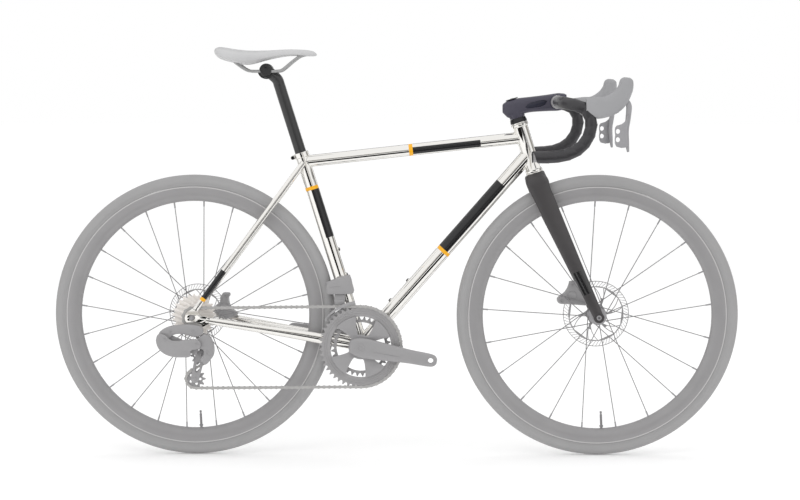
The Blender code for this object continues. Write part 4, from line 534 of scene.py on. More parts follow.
def lofted(name, sections, sides=32, square=1.0):
    """A skin over oval sections: each has a centre, a direction, its wide axis, width and height.

    The ovals are ellipses, and squarer ones where square is under 1."""
    choose()
    bpy.ops.mesh.primitive_circle_add(vertices=sides, radius=1, fill_type="NGON")
    piece = begin(name)
    for vert in piece.data.vertices:
        vert.co = [math.copysign(abs(c) ** square, c) if abs(c) > 1e-6 else 0.0 for c in vert.co]
    bpy.ops.object.mode_set(mode="EDIT")
    bpy.ops.mesh.select_all(action="SELECT")
    last = Matrix.Identity(4)
    for i, (centre, along, wide, width, height) in enumerate(sections):
        along = Vector(along).normalized()
        wide = (Vector(wide) - along * along.dot(Vector(wide))).normalized()
        high = along.cross(wide)
        here = Matrix((wide * width / 2, high * height / 2, along)).transposed().to_4x4()
        here.translation = centre
        if i:
            bpy.ops.mesh.extrude_region_move()
        skin = bmesh.from_edit_mesh(piece.data)
        move = here @ last.inverted()
        for vert in skin.verts:
            if vert.select:
                vert.co = move @ vert.co
        bmesh.update_edit_mesh(piece.data)
        last = here
    outward()
    return settle(piece)


def strung(centres, wide, sizes):
    """Sections for a loft: each faces along its neighbours."""
    last = len(centres) - 1
    ways = [centres[min(i + 1, last)] - centres[max(i - 1, 0)] for i in range(last + 1)]
    return [(centre, way, wide, *size) for centre, way, size in zip(centres, ways, sizes)]


def looped(outline, steps):
    """A smooth closed outline through the corners of a rough one."""
    return eased([outline[-1], *outline, outline[0]], steps)[steps:-1]


def plated(name, outlines, y, thickness, bevel=0.0003):
    """A flat plate that faces sideways, from closed outlines of (x, z); those inside others are holes."""
    choose()
    bpy.ops.curve.primitive_bezier_circle_add(rotation=(math.pi / 2, 0, 0), location=(0, y, 0))
    piece = begin(name)
    flat = piece.data
    flat.splines.clear()
    flat.dimensions, flat.fill_mode = "2D", "BOTH"
    for outline in outlines:
        threaded(flat, [(x, z, 0) for x, z in outline]).use_cyclic_u = True
    flat.extrude, flat.bevel_depth, flat.bevel_resolution = thickness / 2 - bevel, bevel, 1
    flat.offset = -bevel
    bpy.ops.object.convert(target="MESH")
    bpy.ops.object.mode_set(mode="EDIT")
    outward(doubles=True)
    return settle(piece)


def merged(name, pieces):
    """Several pieces made into one object, which keeps the first one's material."""
    choose(*pieces)
    bpy.ops.object.join()
    return begin(name)


def ring_of(centre, radius, count, start=0.0, turn=2 * math.pi):
    points = []
    for i in range(count):
        a = start + turn * i / count
        points.append((centre[0] + radius * math.cos(a), centre[2] + radius * math.sin(a)))
    return points


stay_steel = steel("stay_steel")
for name, side in (("left", 1), ("right", -1)):
    line = (REAR_AXLE - BB).normalized()
    rows = eased((
        (0.0, 0.0215, 0.014, 0.028), (0.06, 0.024, 0.013, 0.027), (0.13, 0.0275, 0.012, 0.025),
        (0.22, 0.04, 0.014, 0.022), (0.31, 0.06, 0.014, 0.019), (0.375, 0.0735, 0.011, 0.016),
    ), 6)
    centres = [BB + line * row[0] + LEFT * side * row[1] for row in rows]
    stay = lofted("chainstay_polished_" + name, strung(centres, LEFT, [row[2:] for row in rows]))
    across = Vector(((SEAT_TOP - STAY_LOW).z, 0, -(SEAT_TOP - STAY_LOW).x)).normalized() * 0.008
    front, rear = STAY_LOW + across, STAY_LOW - across
    edge = [(rear.x, rear.z), *ring_of(REAR_AXLE, 0.017, 14, math.radians(150), math.radians(107))]
    if side < 0:
        low = HANGER.z - 0.008
        edge += [(HANGER.x - 0.011, HANGER.z + 0.002), (HANGER.x - 0.0095, HANGER.z - 0.005)]
        edge += [(HANGER.x - 0.006, low), (HANGER.x + 0.006, low)]
        edge += [(HANGER.x + 0.0095, HANGER.z - 0.005), (HANGER.x + 0.011, HANGER.z + 0.002)]
    else:
        edge += ring_of(REAR_AXLE, 0.017, 5, math.radians(257), math.radians(43))
    edge += [(REAR_AXLE.x + 0.04, REAR_AXLE.z - 0.0155), (REAR_AXLE.x + 0.043, REAR_AXLE.z - 0.006)]
    edge += [(REAR_AXLE.x + 0.043, REAR_AXLE.z + 0.001), (front.x + 0.006, front.z - 0.008), (front.x, front.z)]
    hole = ring_of(REAR_AXLE, AXLE_BORE, 32)
    tip = plated("dropout", [edge, hole], side * DROPOUT_OUT, 0.006, 0.0006)
    stay = joined(stay, [
        crossing("core", BB, 0.05, SHELL_R),
        rod("core", BB - SEAT_UP * 0.03, BB + SEAT_UP * 0.09, SEAT_R),
        crossing("core", REAR_AXLE, 0.1, AXLE_BORE),
    ])
    stay = merged("chainstay_polished_" + name, [stay, tip])
    dressed(stay, "frame", stay_steel, "chainstay_" + name, slot="polished_steel")

    low_end = STAY_LOW + LEFT * DROPOUT_OUT * side + (SEAT_TOP - STAY_LOW).normalized() * 0.0003
    high_end = SEAT_TOP - SEAT_UP * 0.0255 + LEFT * side * 0.0164
    rows = eased(((0, 0.0055, 0.014), (0.1, 0.0136, 0.0136), (0.55, 0.016, 0.016), (1.0, 0.014, 0.014)), 6)
    sections = [
        (low_end.lerp(high_end, r[0]), high_end - low_end, LEFT, r[1], r[2]) for r in rows
    ]
    upper = joined(lofted("seatstay_polished_" + name, sections), [rod("core", BB, SEAT_TOP, SEAT_R)])
    stay_way = (high_end - low_end).normalized()
    paint = stay_steel
    if side < 0:
        paint = steel("seatstay_painted_steel", stay_way, low_end, (0.03, 0.115), (0.027, 0.035))
    dressed(upper, "frame", paint, "seatstay_" + name, slot="polished_steel")

# --- Bosses, collar bolt and headset ------------------------------------------------------------
# Four threaded bosses for bottle cages with their bolts, the bolt that pinches the seat collar, and
# the black cover over the headset's upper bearing.

black_metal = Finish("black_metal", (0.018, 0.018, 0.02), 0.35, 0.3).hazy(60.0, 0.28, 0.14).grainy(900.0, 0.05).made
for spot, (foot, out) in enumerate((
    (BB + SEAT_UP * 0.1725, (SEAT_UP.z, 0, -SEAT_UP.x)), (BB + SEAT_UP * 0.2365, (SEAT_UP.z, 0, -SEAT_UP.x)),
    (BB + down_way * 0.127, (-down_way.z, 0, down_way.x)), (BB + down_way * 0.191, (-down_way.z, 0, down_way.x)),
)):
    radius = SEAT_R if spot < 2 else DOWN_R
    out = Vector(out).normalized()
    profile = [(0.0, -0.001), (0.0058, -0.001), (0.0058, 0.001), (0.005, 0.0017), (0.0, 0.0017)]
    boss = spun(f"bottle_boss_{spot}", profile, foot + out * radius, out, 32)
    dressed(boss, "frame", stay_steel)
    head = [
        (0.0, 0.0), (0.0042, 0.0), (0.0042, 0.0012), (0.0034, 0.0024), (0.0019, 0.0026), (0.0017, 0.0012),
        (0.0, 0.001),
    ]
    bolt = spun(f"bottle_bolt_{spot}", head, foot + out * (radius + 0.0016), out, 24)
    dressed(bolt, "frame", black_metal)

collar_back = SEAT_TOP - SEAT_UP * 0.007 - Vector((SEAT_UP.z, 0, -SEAT_UP.x)) * 0.0215
ear = lofted("collar_ear", [
    (collar_back - LEFT * 0.0085, LEFT, UP, 0.0085, 0.0085), (collar_back - LEFT * 0.0078, LEFT, UP, 0.01, 0.01),
    (collar_back + LEFT * 0.0078, LEFT, UP, 0.01, 0.01), (collar_back + LEFT * 0.0085, LEFT, UP, 0.0085, 0.0085),
])
dressed(ear, "frame", stay_steel)
socket = [
    (0.0, -0.0015), (0.0, 0.0), (0.002, 0.0), (0.0022, 0.0016), (0.0034, 0.0016), (0.0036, 0.0), (0.0036, -0.0015),
]
dressed(spun("collar_bolt", socket, collar_back - LEFT * 0.0085, -LEFT, 24), "frame", black_metal)

cover_foot = HEAD_TOP + HEAD_UP * 0.004
profile = [
    (0.0147, 0.0002), (0.02, 0.0002), (0.0204, 0.001), (0.0203, 0.0022), (0.0188, 0.0098), (0.0182, 0.0106),
    (0.0147, 0.0106),
]
cover = spun("headset_cover_turned", profile, cover_foot, HEAD_UP, 64, closed=True)
dressed(cover, "fork", black_metal, "headset_cover", slot="bearing_black")
for name, foot in (("lower", HEAD_LOW - HEAD_UP * 0.004), ("upper", HEAD_TOP)):
    profile = [
        (0.0147, 0.0004), (0.0198, 0.0004), (0.0202, 0.001), (0.0202, 0.003), (0.0198, 0.0036), (0.0147, 0.0036),
    ]
    bearing = spun(f"headset_bearing_{name}", profile, foot, HEAD_UP, 64, closed=True)
    dressed(bearing, "frame", stay_steel, f"headset_{name}_bearing", slot="bearing_black")

# --- Fork ---------------------------------------------------------------------------------------
# Moulded carbon fork: flat blades from a broad crown to bossed ends, under a satin black lacquer that
# goes glossy over a stretch of each blade above the axle.

CROWN = Vector((0.332963, 0, 0.681225))
fork_start = CROWN - HEAD_UP * 0.04
rows = eased((
    (0.013, 0.0, 0.026, 0.051), (0.014, 0.018, 0.026, 0.053), (0.024, 0.0285, 0.02, 0.053),
    (0.045, 0.032, 0.017, 0.049), (0.095, 0.0375, 0.016, 0.045), (0.175, 0.047, 0.015, 0.038),
    (0.26, 0.0535, 0.014, 0.031), (0.33, 0.057, 0.013, 0.027), (0.364, 0.057, 0.013, 0.0245),
    (0.376, 0.057, 0.0125, 0.0215), (0.3815, 0.057, 0.0115, 0.014),
), 5)


def fork_line(below, out):
    if below <= 0.04:
        return CROWN - HEAD_UP * below + LEFT * out
    return fork_start.lerp(FRONT_AXLE, (below - 0.04) / 0.332) + LEFT * out


line = [fork_line(r[0], r[1]) for r in rows]
sections = strung(line, FORWARD, [(row[3], row[2]) for row in rows])
sections[0] = (line[0], LEFT, *sections[0][2:])
across = [(Vector((c.x, -c.y, c.z)), Vector((-a.x, a.y, -a.z)), w, b, h) for c, a, w, b, h in sections[:0:-1]]
fork = lofted("fork_blades", across + sections, 40)
crown = spun(
    "crown", [(0.0, -0.0003), (0.0222, -0.0003), (0.023, -0.0012), (0.0252, -0.016), (0.0, -0.016)], CROWN, HEAD_UP,
    64,
)
steerer = rod("steerer", CROWN - HEAD_UP * 0.006, CROWN + HEAD_UP * 0.18, 0.0143, 48)
ends = []
for side in (1, -1):
    profile = [(0.0, 0.0), (0.0118, 0.0), (0.0128, 0.0009), (0.0128, 0.0126), (0.0118, 0.0135), (0.0, 0.0135)]
    ends.append(spun("fork_end", profile, FRONT_AXLE + LEFT * side * 0.05, LEFT * side, 48))
fork = joined(fork, [crown, steerer, *ends], "UNION")
fork = joined(fork, [crossing("core", FRONT_AXLE, 0.1, AXLE_BORE, 48)])
carbon = Finish("fork_carbon", (0.045, 0.042, 0.043), 0.34, Coat_Weight=0.15, Coat_Roughness=0.2)
run = carbon.along(fork_start, FRONT_AXLE - fork_start)
gloss = (run > 0.213) * (run < 0.272)
tone = carbon.mix(carbon.noise(14.0, 3.0), (0.034, 0.031, 0.032), (0.056, 0.051, 0.053))
carbon.set(Base_Color=carbon.mix(gloss, tone, (0.008, 0.008, 0.009)), Coat_Weight=0.15 + gloss * 0.85)
carbon.set(Roughness=0.38 - gloss * 0.3 + carbon.noise(40.0) * 0.05)
dressed(fork, "fork", carbon.grainy(700.0, 0.04).made, "fork", slot="black_carbon", smooth=40)

turned_grey = Finish("turned_alloy_grey", (0.33, 0.325, 0.335), 0.42, 0.15)
turned_grey = turned_grey.hazy(80.0, 0.36, 0.14).grainy(1200.0, 0.06).made
for name, axle, reach, body in (("front", FRONT_AXLE, 0.0635, "fork"), ("rear", REAR_AXLE, 0.077, "frame")):
    shaft = crossing(name + "_axle_turned", axle, reach + 0.001, 0.006, 40)
    profile = [
        (0.0, 0.0003), (0.0093, 0.0003), (0.0095, 0.0008), (0.0095, 0.004), (0.0088, 0.005), (0.0036, 0.005),
        (0.0034, 0.002), (0.0, 0.002),
    ]
    shaft = merged(name + "_axle_turned", [shaft, spun("head", profile, axle + LEFT * reach, LEFT, 40)])
    shaft = joined(shaft, [rod("core", axle - LEFT * (reach + 0.01), axle - LEFT * (reach - 0.004), 0.0034, 24)])
    dressed(shaft, body, turned_grey, name + "_thru_axle", slot="grey_metal")

# --- Wheels -------------------------------------------------------------------------------------
# Carbon rims with 28 mm tyres. The front hub has 21 spokes in groups of three, the rear hub 24, all
# thin steel, laced from the hub's flanges to nipples inside the rim.

tyre_rubber = Finish("tyre_rubber", (0.335, 0.332, 0.334), 0.62)
tyre_rubber.cloudy(30.0, (0.325, 0.322, 0.324), (0.355, 0.35, 0.352), 4.0)
tyre_rubber = tyre_rubber.grainy(1400.0, 0.25, 0.0003).made
rim_lacquer = Finish("rim_lacquer", (0.29, 0.284, 0.288), 0.3, Coat_Weight=0.2, Coat_Roughness=0.25)
rim_lacquer.cloudy(22.0, (0.275, 0.27, 0.274), (0.315, 0.308, 0.312), 4.0)
rim_lacquer = rim_lacquer.grainy(800.0, 0.05).made
lip_line = Finish("rim_lip_line", (0.52, 0.51, 0.51), 0.35).hazy(50.0, 0.3, 0.15).made
spoke_steel = Finish("spoke_steel", (0.24, 0.235, 0.24), 0.38, 0.25).hazy(200.0, 0.32, 0.12).made

TYRE_MIDDLE, TYRE_R, WORN_FLAT = 0.32505, 0.0139, 0.00035
VALVE_TURN = math.radians(-87.4)
NIPPLE_SEAT = 0.2765
for name, axle, body in (("front", FRONT_AXLE, "front_wheel"), ("rear", REAR_AXLE, "rear_wheel")):
    tread = []
    for i in range(33):
        a = math.radians(-128 + 256 * i / 32)
        flat = WORN_FLAT if abs(a) < 0.42 else 0.0
        tread.append((TYRE_MIDDLE + TYRE_R * math.cos(a) - flat * math.cos(a), TYRE_R * math.sin(a)))
    tread = [(0.3113, -0.0108), *tread, (0.3113, 0.0108), (0.3128, 0.008), (0.3128, -0.008)]
    tyre = spun(name + "_tyre_round", tread, axle, LEFT, 180, closed=True)
    dressed(tyre, body, tyre_rubber, name + "_tyre", slot="tyre_grey", smooth=40)
    half = [
        (0.3108, 0.0095), (0.311, 0.0112), (0.3107, 0.0122), (0.3098, 0.0125), (0.303, 0.0128), (0.295, 0.0128),
        (0.288, 0.0112), (0.2815, 0.0082), (0.2772, 0.0048), (0.2752, 0.0018),
    ]
    hoop = [*mirrored(half), (0.307, -0.0085), (0.307, 0.0085)]
    rim = spun(name + "_rim_deep", hoop, axle, LEFT, 180, closed=True)
    dressed(rim, body, rim_lacquer, name + "_rim", slot="rim_grey", smooth=40)
    for side in (1, -1):
        profile = [(0.3082, 0.01262), (0.31, 0.01258), (0.3107, 0.0124), (0.308, 0.0124)]
        profile = [(r, y * side) for r, y in profile]
        dressed(spun(f"{name}_rim_lip_{side}", profile, axle, LEFT, 180, closed=True), body, lip_line)
    way = Vector((math.cos(VALVE_TURN), 0, math.sin(VALVE_TURN)))
    profile = [
        (0.0, 0.0), (0.0022, 0.0), (0.0026, 0.0008), (0.0026, 0.0052), (0.0016, 0.0056), (0.0016, 0.0075),
        (0.0029, 0.0078), (0.003, 0.034), (0.0046, 0.0342), (0.0046, 0.0375), (0.003, 0.0378), (0.003, 0.044),
        (0.0, 0.044),
    ]
    valve = spun(name + "_valve", profile, axle + way * 0.234, way, 20)
    dressed(valve, body, spoke_steel)

runs, hubs = {"front": [], "rear": []}, {}
for group in range(7):
    radial = math.radians(-80.1) + 2 * math.pi * group / 7
    third = 2 * math.pi / 21
    lead = math.radians(62)
    runs["front"] += [
        (0.0185, radial, -0.0335, radial), (0.0205, radial + 1.5 * third - lead, 0.0247, radial + 2 * third),
        (0.0205, radial + 1.5 * third + lead, 0.0213, radial + third),
    ]
for i in range(12):
    away = 1 if i % 2 else -1
    for middle, radius, shift in ((0.035, 0.0215, 0.0), (-0.019, 0.0238, math.pi / 12)):
        rim_turn = i * math.pi / 6 + shift + math.radians(10.3)
        lead = math.radians(66)
        runs["rear"].append((radius, rim_turn + away * lead, middle + 0.0017 * away, rim_turn))
hubs["front"] = [
    (0.0085, 0.0497), (0.0101, 0.0497), (0.0105, 0.0493), (0.0105, 0.0407), (0.0165, 0.0407), (0.0172, 0.04),
    (0.0172, 0.0275), (0.0218, 0.0262), (0.0225, 0.0255), (0.0225, 0.0226), (0.0218, 0.0218), (0.015, 0.019),
    (0.0125, 0.015), (0.0122, 0.0), (0.0125, -0.024), (0.015, -0.03), (0.0198, -0.0318), (0.0205, -0.0325),
    (0.0205, -0.0345), (0.0198, -0.0352), (0.0125, -0.037), (0.011, -0.04), (0.0105, -0.049), (0.0101, -0.0497),
    (0.0085, -0.0497),
]
hubs["rear"] = [
    (0.0085, 0.0707), (0.0101, 0.0707), (0.0105, 0.0703), (0.0105, 0.0617), (0.0165, 0.0617), (0.0172, 0.061),
    (0.0172, 0.039), (0.0228, 0.0374), (0.0235, 0.0366), (0.0235, 0.034), (0.0228, 0.0332), (0.016, 0.03),
    (0.0138, 0.025), (0.0135, 0.0), (0.015, -0.013), (0.019, -0.016), (0.0252, -0.0172), (0.026, -0.018),
    (0.026, -0.0202), (0.0252, -0.0208), (0.014, -0.0222), (0.014, -0.0632), (0.0108, -0.0636), (0.0105, -0.0703),
    (0.0101, -0.0707), (0.0085, -0.0707),
]
for name, axle in (("front", FRONT_AXLE), ("rear", REAR_AXLE)):
    body = name + "_wheel"
    hub = spun(name + "_hub_shell", hubs[name], axle, LEFT, 56, closed=True)
    dressed(hub, body, turned_grey, name + "_hub", slot="grey_metal")
    wires, nipples = [], []
    for hub_radius, hub_turn, hub_y, rim_turn in runs[name]:
        start = axle + Vector((hub_radius * math.cos(hub_turn), hub_y, hub_radius * math.sin(hub_turn)))
        end = axle + Vector((NIPPLE_SEAT * math.cos(rim_turn), hub_y * 0.03, NIPPLE_SEAT * math.sin(rim_turn)))
        wires.append(rod("spoke", start, end, 0.00105, 8))
        nipples.append(rod("nipple", end.lerp(start, 0.052), end, 0.0019, 8))
    dressed(merged(name + "_spokes", wires), body, spoke_steel)
    dressed(merged(name + "_nipples", nipples), body, turned_grey)

# --- Stem and handlebar -------------------------------------------------------------------------
# A bulky alloy stem in satin blue-black with a pocket in each side, a bolted faceplate, and a drop
# handlebar that is round and thicker where the stem clamps it.

STEM_FOOT = Vector((0.291489, 0, 0.813893))
STEM_MIDDLE = STEM_FOOT + HEAD_UP * 0.024
BAR = STEM_MIDDLE + Vector((0.101, 0, 0.015))
stem_line = BAR - STEM_MIDDLE
stem_paint = Finish("stem_paint", (0.052, 0.048, 0.072), 0.36)
stem_paint.cloudy(18.0, (0.044, 0.041, 0.062), (0.066, 0.062, 0.088))
stem_paint = stem_paint.grainy(900.0, 0.1).made
pocket_paint = Finish("stem_pocket_paint", (0.014, 0.015, 0.032), 0.28).hazy(60.0, 0.24, 0.12).made

stations = eased((
    (-0.285, 0.0035, 0.017, 0.018), (-0.265, 0.0033, 0.0235, 0.0245), (-0.13, 0.0, 0.043, 0.034),
    (0.07, 0.002, 0.042, 0.038), (0.35, 0.0035, 0.037, 0.038), (0.74, 0.0015, 0.039, 0.044),
    (1.0, 0.0, 0.042, 0.046), (1.15, -0.001, 0.0385, 0.046), (1.195, -0.001, 0.034, 0.0445),
    (1.22, -0.001, 0.028, 0.039),
), 4)
blanks = []
for name in ("stem_body", "faceplate"):
    sections = [(STEM_MIDDLE + stem_line * r[0] + UP * r[1], FORWARD, LEFT, r[3], r[2]) for r in stations]
    blanks.append(lofted(name, sections, 48, 0.55))
body, face = blanks
bpy.ops.mesh.primitive_cube_add(size=0.2, location=BAR + FORWARD * 0.0995)
body = joined(body, [begin("front_cutter")])
bpy.ops.mesh.primitive_cube_add(size=0.2, location=BAR - FORWARD * 0.0995)
face = joined(face, [begin("rear_cutter")])
grip = [crossing("core", BAR, 0.06, 0.0162, 64) for _ in (0, 1)]
face = joined(face, grip[:1])
foot = rod("foot", STEM_FOOT + HEAD_UP * 0.0004, STEM_FOOT + HEAD_UP * 0.03, 0.0185, 64)
body = joined(joined(body, [foot], "UNION"), grip[1:])
body = joined(body, [rod("core", STEM_FOOT - HEAD_UP * 0.01, STEM_FOOT + HEAD_UP * 0.0375, 0.0146, 48)])
pocket = [
    (0.24, -0.0035), (0.3, 0.0035), (0.42, 0.0068), (0.68, 0.008), (0.76, 0.004), (0.72, -0.004), (0.6, -0.0075),
    (0.3, -0.007),
]
pocket = [(STEM_MIDDLE.x + 0.101 * s, STEM_MIDDLE.z + 0.015 * s + h + 0.002) for s, h in pocket]
for side in (1, -1):
    body = joined(body, [plated("pocket_cutter", [pocket], side * 0.025, 0.014, 0.0004)])
    sheet = plated(f"stem_pocket_{side}", [pocket], side * 0.0172, 0.002, 0.0002)
    dressed(sheet, "fork", pocket_paint)
for piece, stands in ((body, "stem"), (face, "stem_faceplate")):
    worn(piece, ("BEVEL", {"width": 0.0006, "segments": 2, "limit_method": "ANGLE", "angle_limit": math.radians(50)}))
    dressed(piece, "fork", stem_paint, stands, slot="stem_black")
bolt_profile = [
    (0.0, 0.0), (0.0033, 0.0), (0.0035, 0.0004), (0.0035, 0.0026), (0.003, 0.0031), (0.0018, 0.0031),
    (0.0016, 0.0012),
    (0.0, 0.0012),
]
for number, (y, z) in enumerate(((0.0155, 0.015), (-0.0155, 0.015), (0.0155, -0.0155), (-0.0155, -0.0155))):
    way = Vector((1, 0, -0.25 if z > 0 else -0.9))
    bolt = spun(f"faceplate_bolt_{number}", bolt_profile, BAR + Vector((0.0185 if z > 0 else 0.015, y, z)), way, 24)
    dressed(bolt, "fork", black_metal)
cap = [
    (0.0, 0.0), (0.0145, 0.0), (0.015, 0.0006), (0.0146, 0.002), (0.006, 0.0024), (0.0038, 0.0016),
    (0.0036, 0.0006), (0.0, 0.0006),
]
dressed(spun("top_cap", cap, STEM_MIDDLE + HEAD_UP * 0.0218, HEAD_UP, 40), "fork", black_metal)
dressed(spun("top_cap_bolt", bolt_profile, STEM_MIDDLE + HEAD_UP * 0.0218, HEAD_UP, 24), "fork", turned_grey)

half_bar = [
    (0.0, 0.0, 0.0), (0.0, 0.05, 0.0), (0.0, 0.105, 0.0), (0.002, 0.16, -0.001), (0.012, 0.194, -0.003),
    (0.032, 0.208, -0.007), (0.052, 0.211, -0.016), (0.064, 0.212, -0.034), (0.066, 0.213, -0.056),
    (0.058, 0.214, -0.083), (0.038, 0.215, -0.107), (0.008, 0.216, -0.121), (-0.028, 0.217, -0.1255),
    (-0.068, 0.218, -0.126),
]
bar_line = [Vector((x, -y, z)) for x, y, z in half_bar[::-1]] + [Vector(p) for p in half_bar[1:]]
bar_line = [BAR + Vector(p) for p in eased(bar_line, 8)]
radii = [0.0115 + 0.0044 * max(0.0, min(1.0, (0.06 - abs(p.y)) / 0.022)) for p in bar_line]
bar_grey = Finish("bar_grey", (0.33, 0.325, 0.33), 0.4).hazy(90.0, 0.34, 0.14).grainy(1000.0, 0.05).made
bar = drawn("handlebar_tube", bar_line, 1.0, sides=8, radii=radii)
dressed(bar, "fork", bar_grey, "handlebar", slot="component_grey")

# --- Bar tape -----------------------------------------------------------------------------------
# Black cushioned tape, wound from the bar's end to the tops with each turn lapping over the last,
# then held by a narrow band. A plug closes each end of the bar.

tape_cloth = Finish("tape_cloth", (0.03, 0.029, 0.032), 0.46, Coat_Weight=0.35, Coat_Roughness=0.3)
tape_cloth.cloudy(120.0, (0.014, 0.013, 0.016), (0.034, 0.032, 0.036))
tape_cloth = tape_cloth.bump(tape_cloth.dots(620.0) + tape_cloth.noise(260.0) * 0.6, 0.35, 0.0005).made
run = [0.0]
for a, b in zip(bar_line, bar_line[1:]):
    run.append(run[-1] + (b - a).length)
stop = next(r for r, p in zip(run, bar_line) if p.y > -0.083)
pitch = stop / 16.4
for name, side in (("right", -1), ("left", 1)):
    line = [Vector((p.x, p.y * -side, p.z)) for p in bar_line]
    choose()
    bpy.ops.curve.primitive_bezier_curve_add(location=(0, 0, 0))
    guide = begin("tape_guide")
    guide.data.splines.clear()
    threaded(guide.data, line)
    profile = [
        (0.0117, 0.0), (0.0117, pitch * 1.04), (0.0141, pitch * 1.1), (0.0144, pitch * 1.05), (0.0139, pitch * 0.1),
        (0.0134, 0.0),
    ]
    tape = traced("tape_wound_" + name, [(x, 0, r) for r, x in profile], True)
    bpy.ops.object.mode_set(mode="OBJECT")
    worn(
        tape,
        ("SCREW", {
            "axis": "X", "angle": 2 * math.pi, "screw_offset": pitch, "iterations": 16, "steps": 28,
            "render_steps": 28, "use_normal_calculate": True, "use_smooth_shade": True,
        }),
        ("CURVE", {"object": guide, "deform_axis": "POS_X"}),
    )
    bpy.data.objects.remove(guide)
    bpy.ops.object.mode_set(mode="EDIT")
    outward()
    dressed(settle(tape), "fork", tape_cloth, "bar_tape_" + name, slot="bar_tape")
    band = [(0.0119, 0.0), (0.0139, 0.0), (0.0141, 0.0004), (0.0141, 0.0096), (0.0139, 0.01), (0.0119, 0.01)]
    finish = spun("finishing_band_" + name, band, BAR + LEFT * side * 0.076, LEFT * side, 48, closed=True)
    dressed(finish, "fork", black_metal)
    end_way = (line[0] - line[1]).normalized()
    plug = [
        (0.0, -0.004), (0.01, -0.004), (0.01, 0.0), (0.0128, 0.0), (0.0133, 0.0008), (0.0126, 0.0018),
        (0.006, 0.0024), (0.0, 0.0025),
    ]
    dressed(spun("bar_plug_" + name, plug, line[0] - end_way * 0.0005, end_way, 40), "fork", black_metal)

# --- Hoods, brake levers and shift paddles ------------------------------------------------------
# Tall hydraulic hoods in rubber, split for a brake blade that swings in them. A flat shift paddle
# with two openings rides behind each blade.

hood_rubber = Finish("hood_rubber", (0.325, 0.325, 0.335), 0.58)
hood_rubber.cloudy(16.0, (0.31, 0.31, 0.32), (0.35, 0.35, 0.36))
hood_rubber = hood_rubber.bump(hood_rubber.dots(340.0), 0.22, 0.0005).made
lever_grey = Finish("lever_grey", (0.315, 0.312, 0.325), 0.36, Coat_Weight=0.2)
lever_grey = lever_grey.hazy(50.0, 0.32, 0.12).grainy(900.0, 0.05).made

PIVOT = BAR + Vector((0.143, 0, 0.01))
HOOD_OUT = 0.212
for name, side in (("left", 1), ("right", -1)):
    out = LEFT * side * HOOD_OUT
    rows = eased((
        (0.054, -0.014, 0.0, 0.046, 0.028), (0.08, -0.013, 0.05, 0.05, 0.033), (0.102, -0.01, 0.25, 0.047, 0.034),
        (0.122, 0.0, 0.53, 0.046, 0.034), (0.136, 0.016, 0.98, 0.04, 0.033), (0.144, 0.034, 1.37, 0.035, 0.031),
        (0.146, 0.048, 1.47, 0.031, 0.028), (0.1466, 0.0535, 1.47, 0.024, 0.022), (0.147, 0.0565, 1.47, 0.013, 0.012),
    ), 5)
    sections = [
        (BAR + Vector((f, 0, u)) + out, (math.cos(t), 0, math.sin(t)), LEFT, wide, deep)
        for f, u, t, deep, wide in rows
    ]
    hood = lofted("hood_rubber_" + name, sections, 40, 0.8)
    near = [p for p in bar_line if p.y * side > 0.185 and p.z > BAR.z - 0.112]
    hood = joined(hood, [drawn("core", near, 0.0148, sides=6)])
    choose()
    bpy.ops.mesh.primitive_cube_add(
        size=1, location=PIVOT + out + Vector((0.008, 0, -0.017)), scale=(0.044, 0.014, 0.056),
    )
    hood = joined(hood, [settle(begin("slot"))])
    worn(hood, ("BEVEL", {"width": 0.0007, "segments": 2, "limit_method": "ANGLE", "angle_limit": math.radians(60)}))
    dressed(hood, "fork", hood_rubber, "hood_" + name, slot="hood_grey", smooth=50)

    rows = eased((
        (0.14, 0.016, 0.008, 0.009), (0.1455, 0.004, 0.012, 0.01), (0.152, -0.009, 0.013, 0.011),
        (0.1505, -0.035, 0.012, 0.012), (0.147, -0.064, 0.0105, 0.0125), (0.1485, -0.092, 0.009, 0.012),
        (0.1505, -0.111, 0.006, 0.01), (0.1508, -0.114, 0.004, 0.007),
    ), 5)
    centres = [BAR + Vector((r[0], 0, r[1])) + out for r in rows]
    blade = lofted("lever_blade_" + name, strung(centres, LEFT, [(row[3], row[2]) for row in rows]), 28, 0.8)
    boss = crossing("boss", PIVOT + out, 0.0067, 0.0045, 32)
    dressed(
        joined(blade, [boss], "UNION"), "brake_lever_" + name, lever_grey, "brake_lever_" + name,
        slot="component_grey", smooth=45,
    )

    front, rear = 0.1512, 0.1192
    edge = [
        (front, -0.03), (0.148, -0.062), (front - 0.001, -0.1), (0.144, -0.1035), (0.135, -0.1045),
        (rear + 0.004, -0.1015),
    ]
    edge += [
        (rear + 0.0008, -0.095), (rear, -0.085), (rear + 0.0012, -0.076), (rear, -0.067), (rear + 0.0008, -0.058),
    ]
    edge += [(rear + 0.004, -0.0535), (0.135, -0.05), (0.143, -0.0435), (0.1465, -0.036), (0.1468, -0.03)]
    edge = [(BAR.x + x, BAR.z + z) for x, z in edge]
    windows = []
    for middle in (-0.0855, -0.0665):
        windows.append([
            (
                BAR.x + rear + 0.0066 + 0.0044 * math.cos(a) * (1.25 if math.cos(a) > 0 else 0.9),
                BAR.z + middle + 0.0056 * math.sin(a),
            )
            for a in (math.radians(15 * k) for k in range(24))
        ])
    y = side * (HOOD_OUT + 0.00625 + 0.0003 + 0.0012)
    paddle = plated("shift_paddle_flat_" + name, [edge, *windows], y, 0.0024, 0.0005)
    dressed(paddle, "shift_paddle_" + name, lever_grey, "shift_paddle_" + name, slot="component_grey")

# --- Disc brakes --------------------------------------------------------------------------------
# Slotted steel rotors on thin forked arms, bolted to the hubs' left ends, and two-piston calipers cast
# in aluminium, flat on the fork blade and the chainstay.

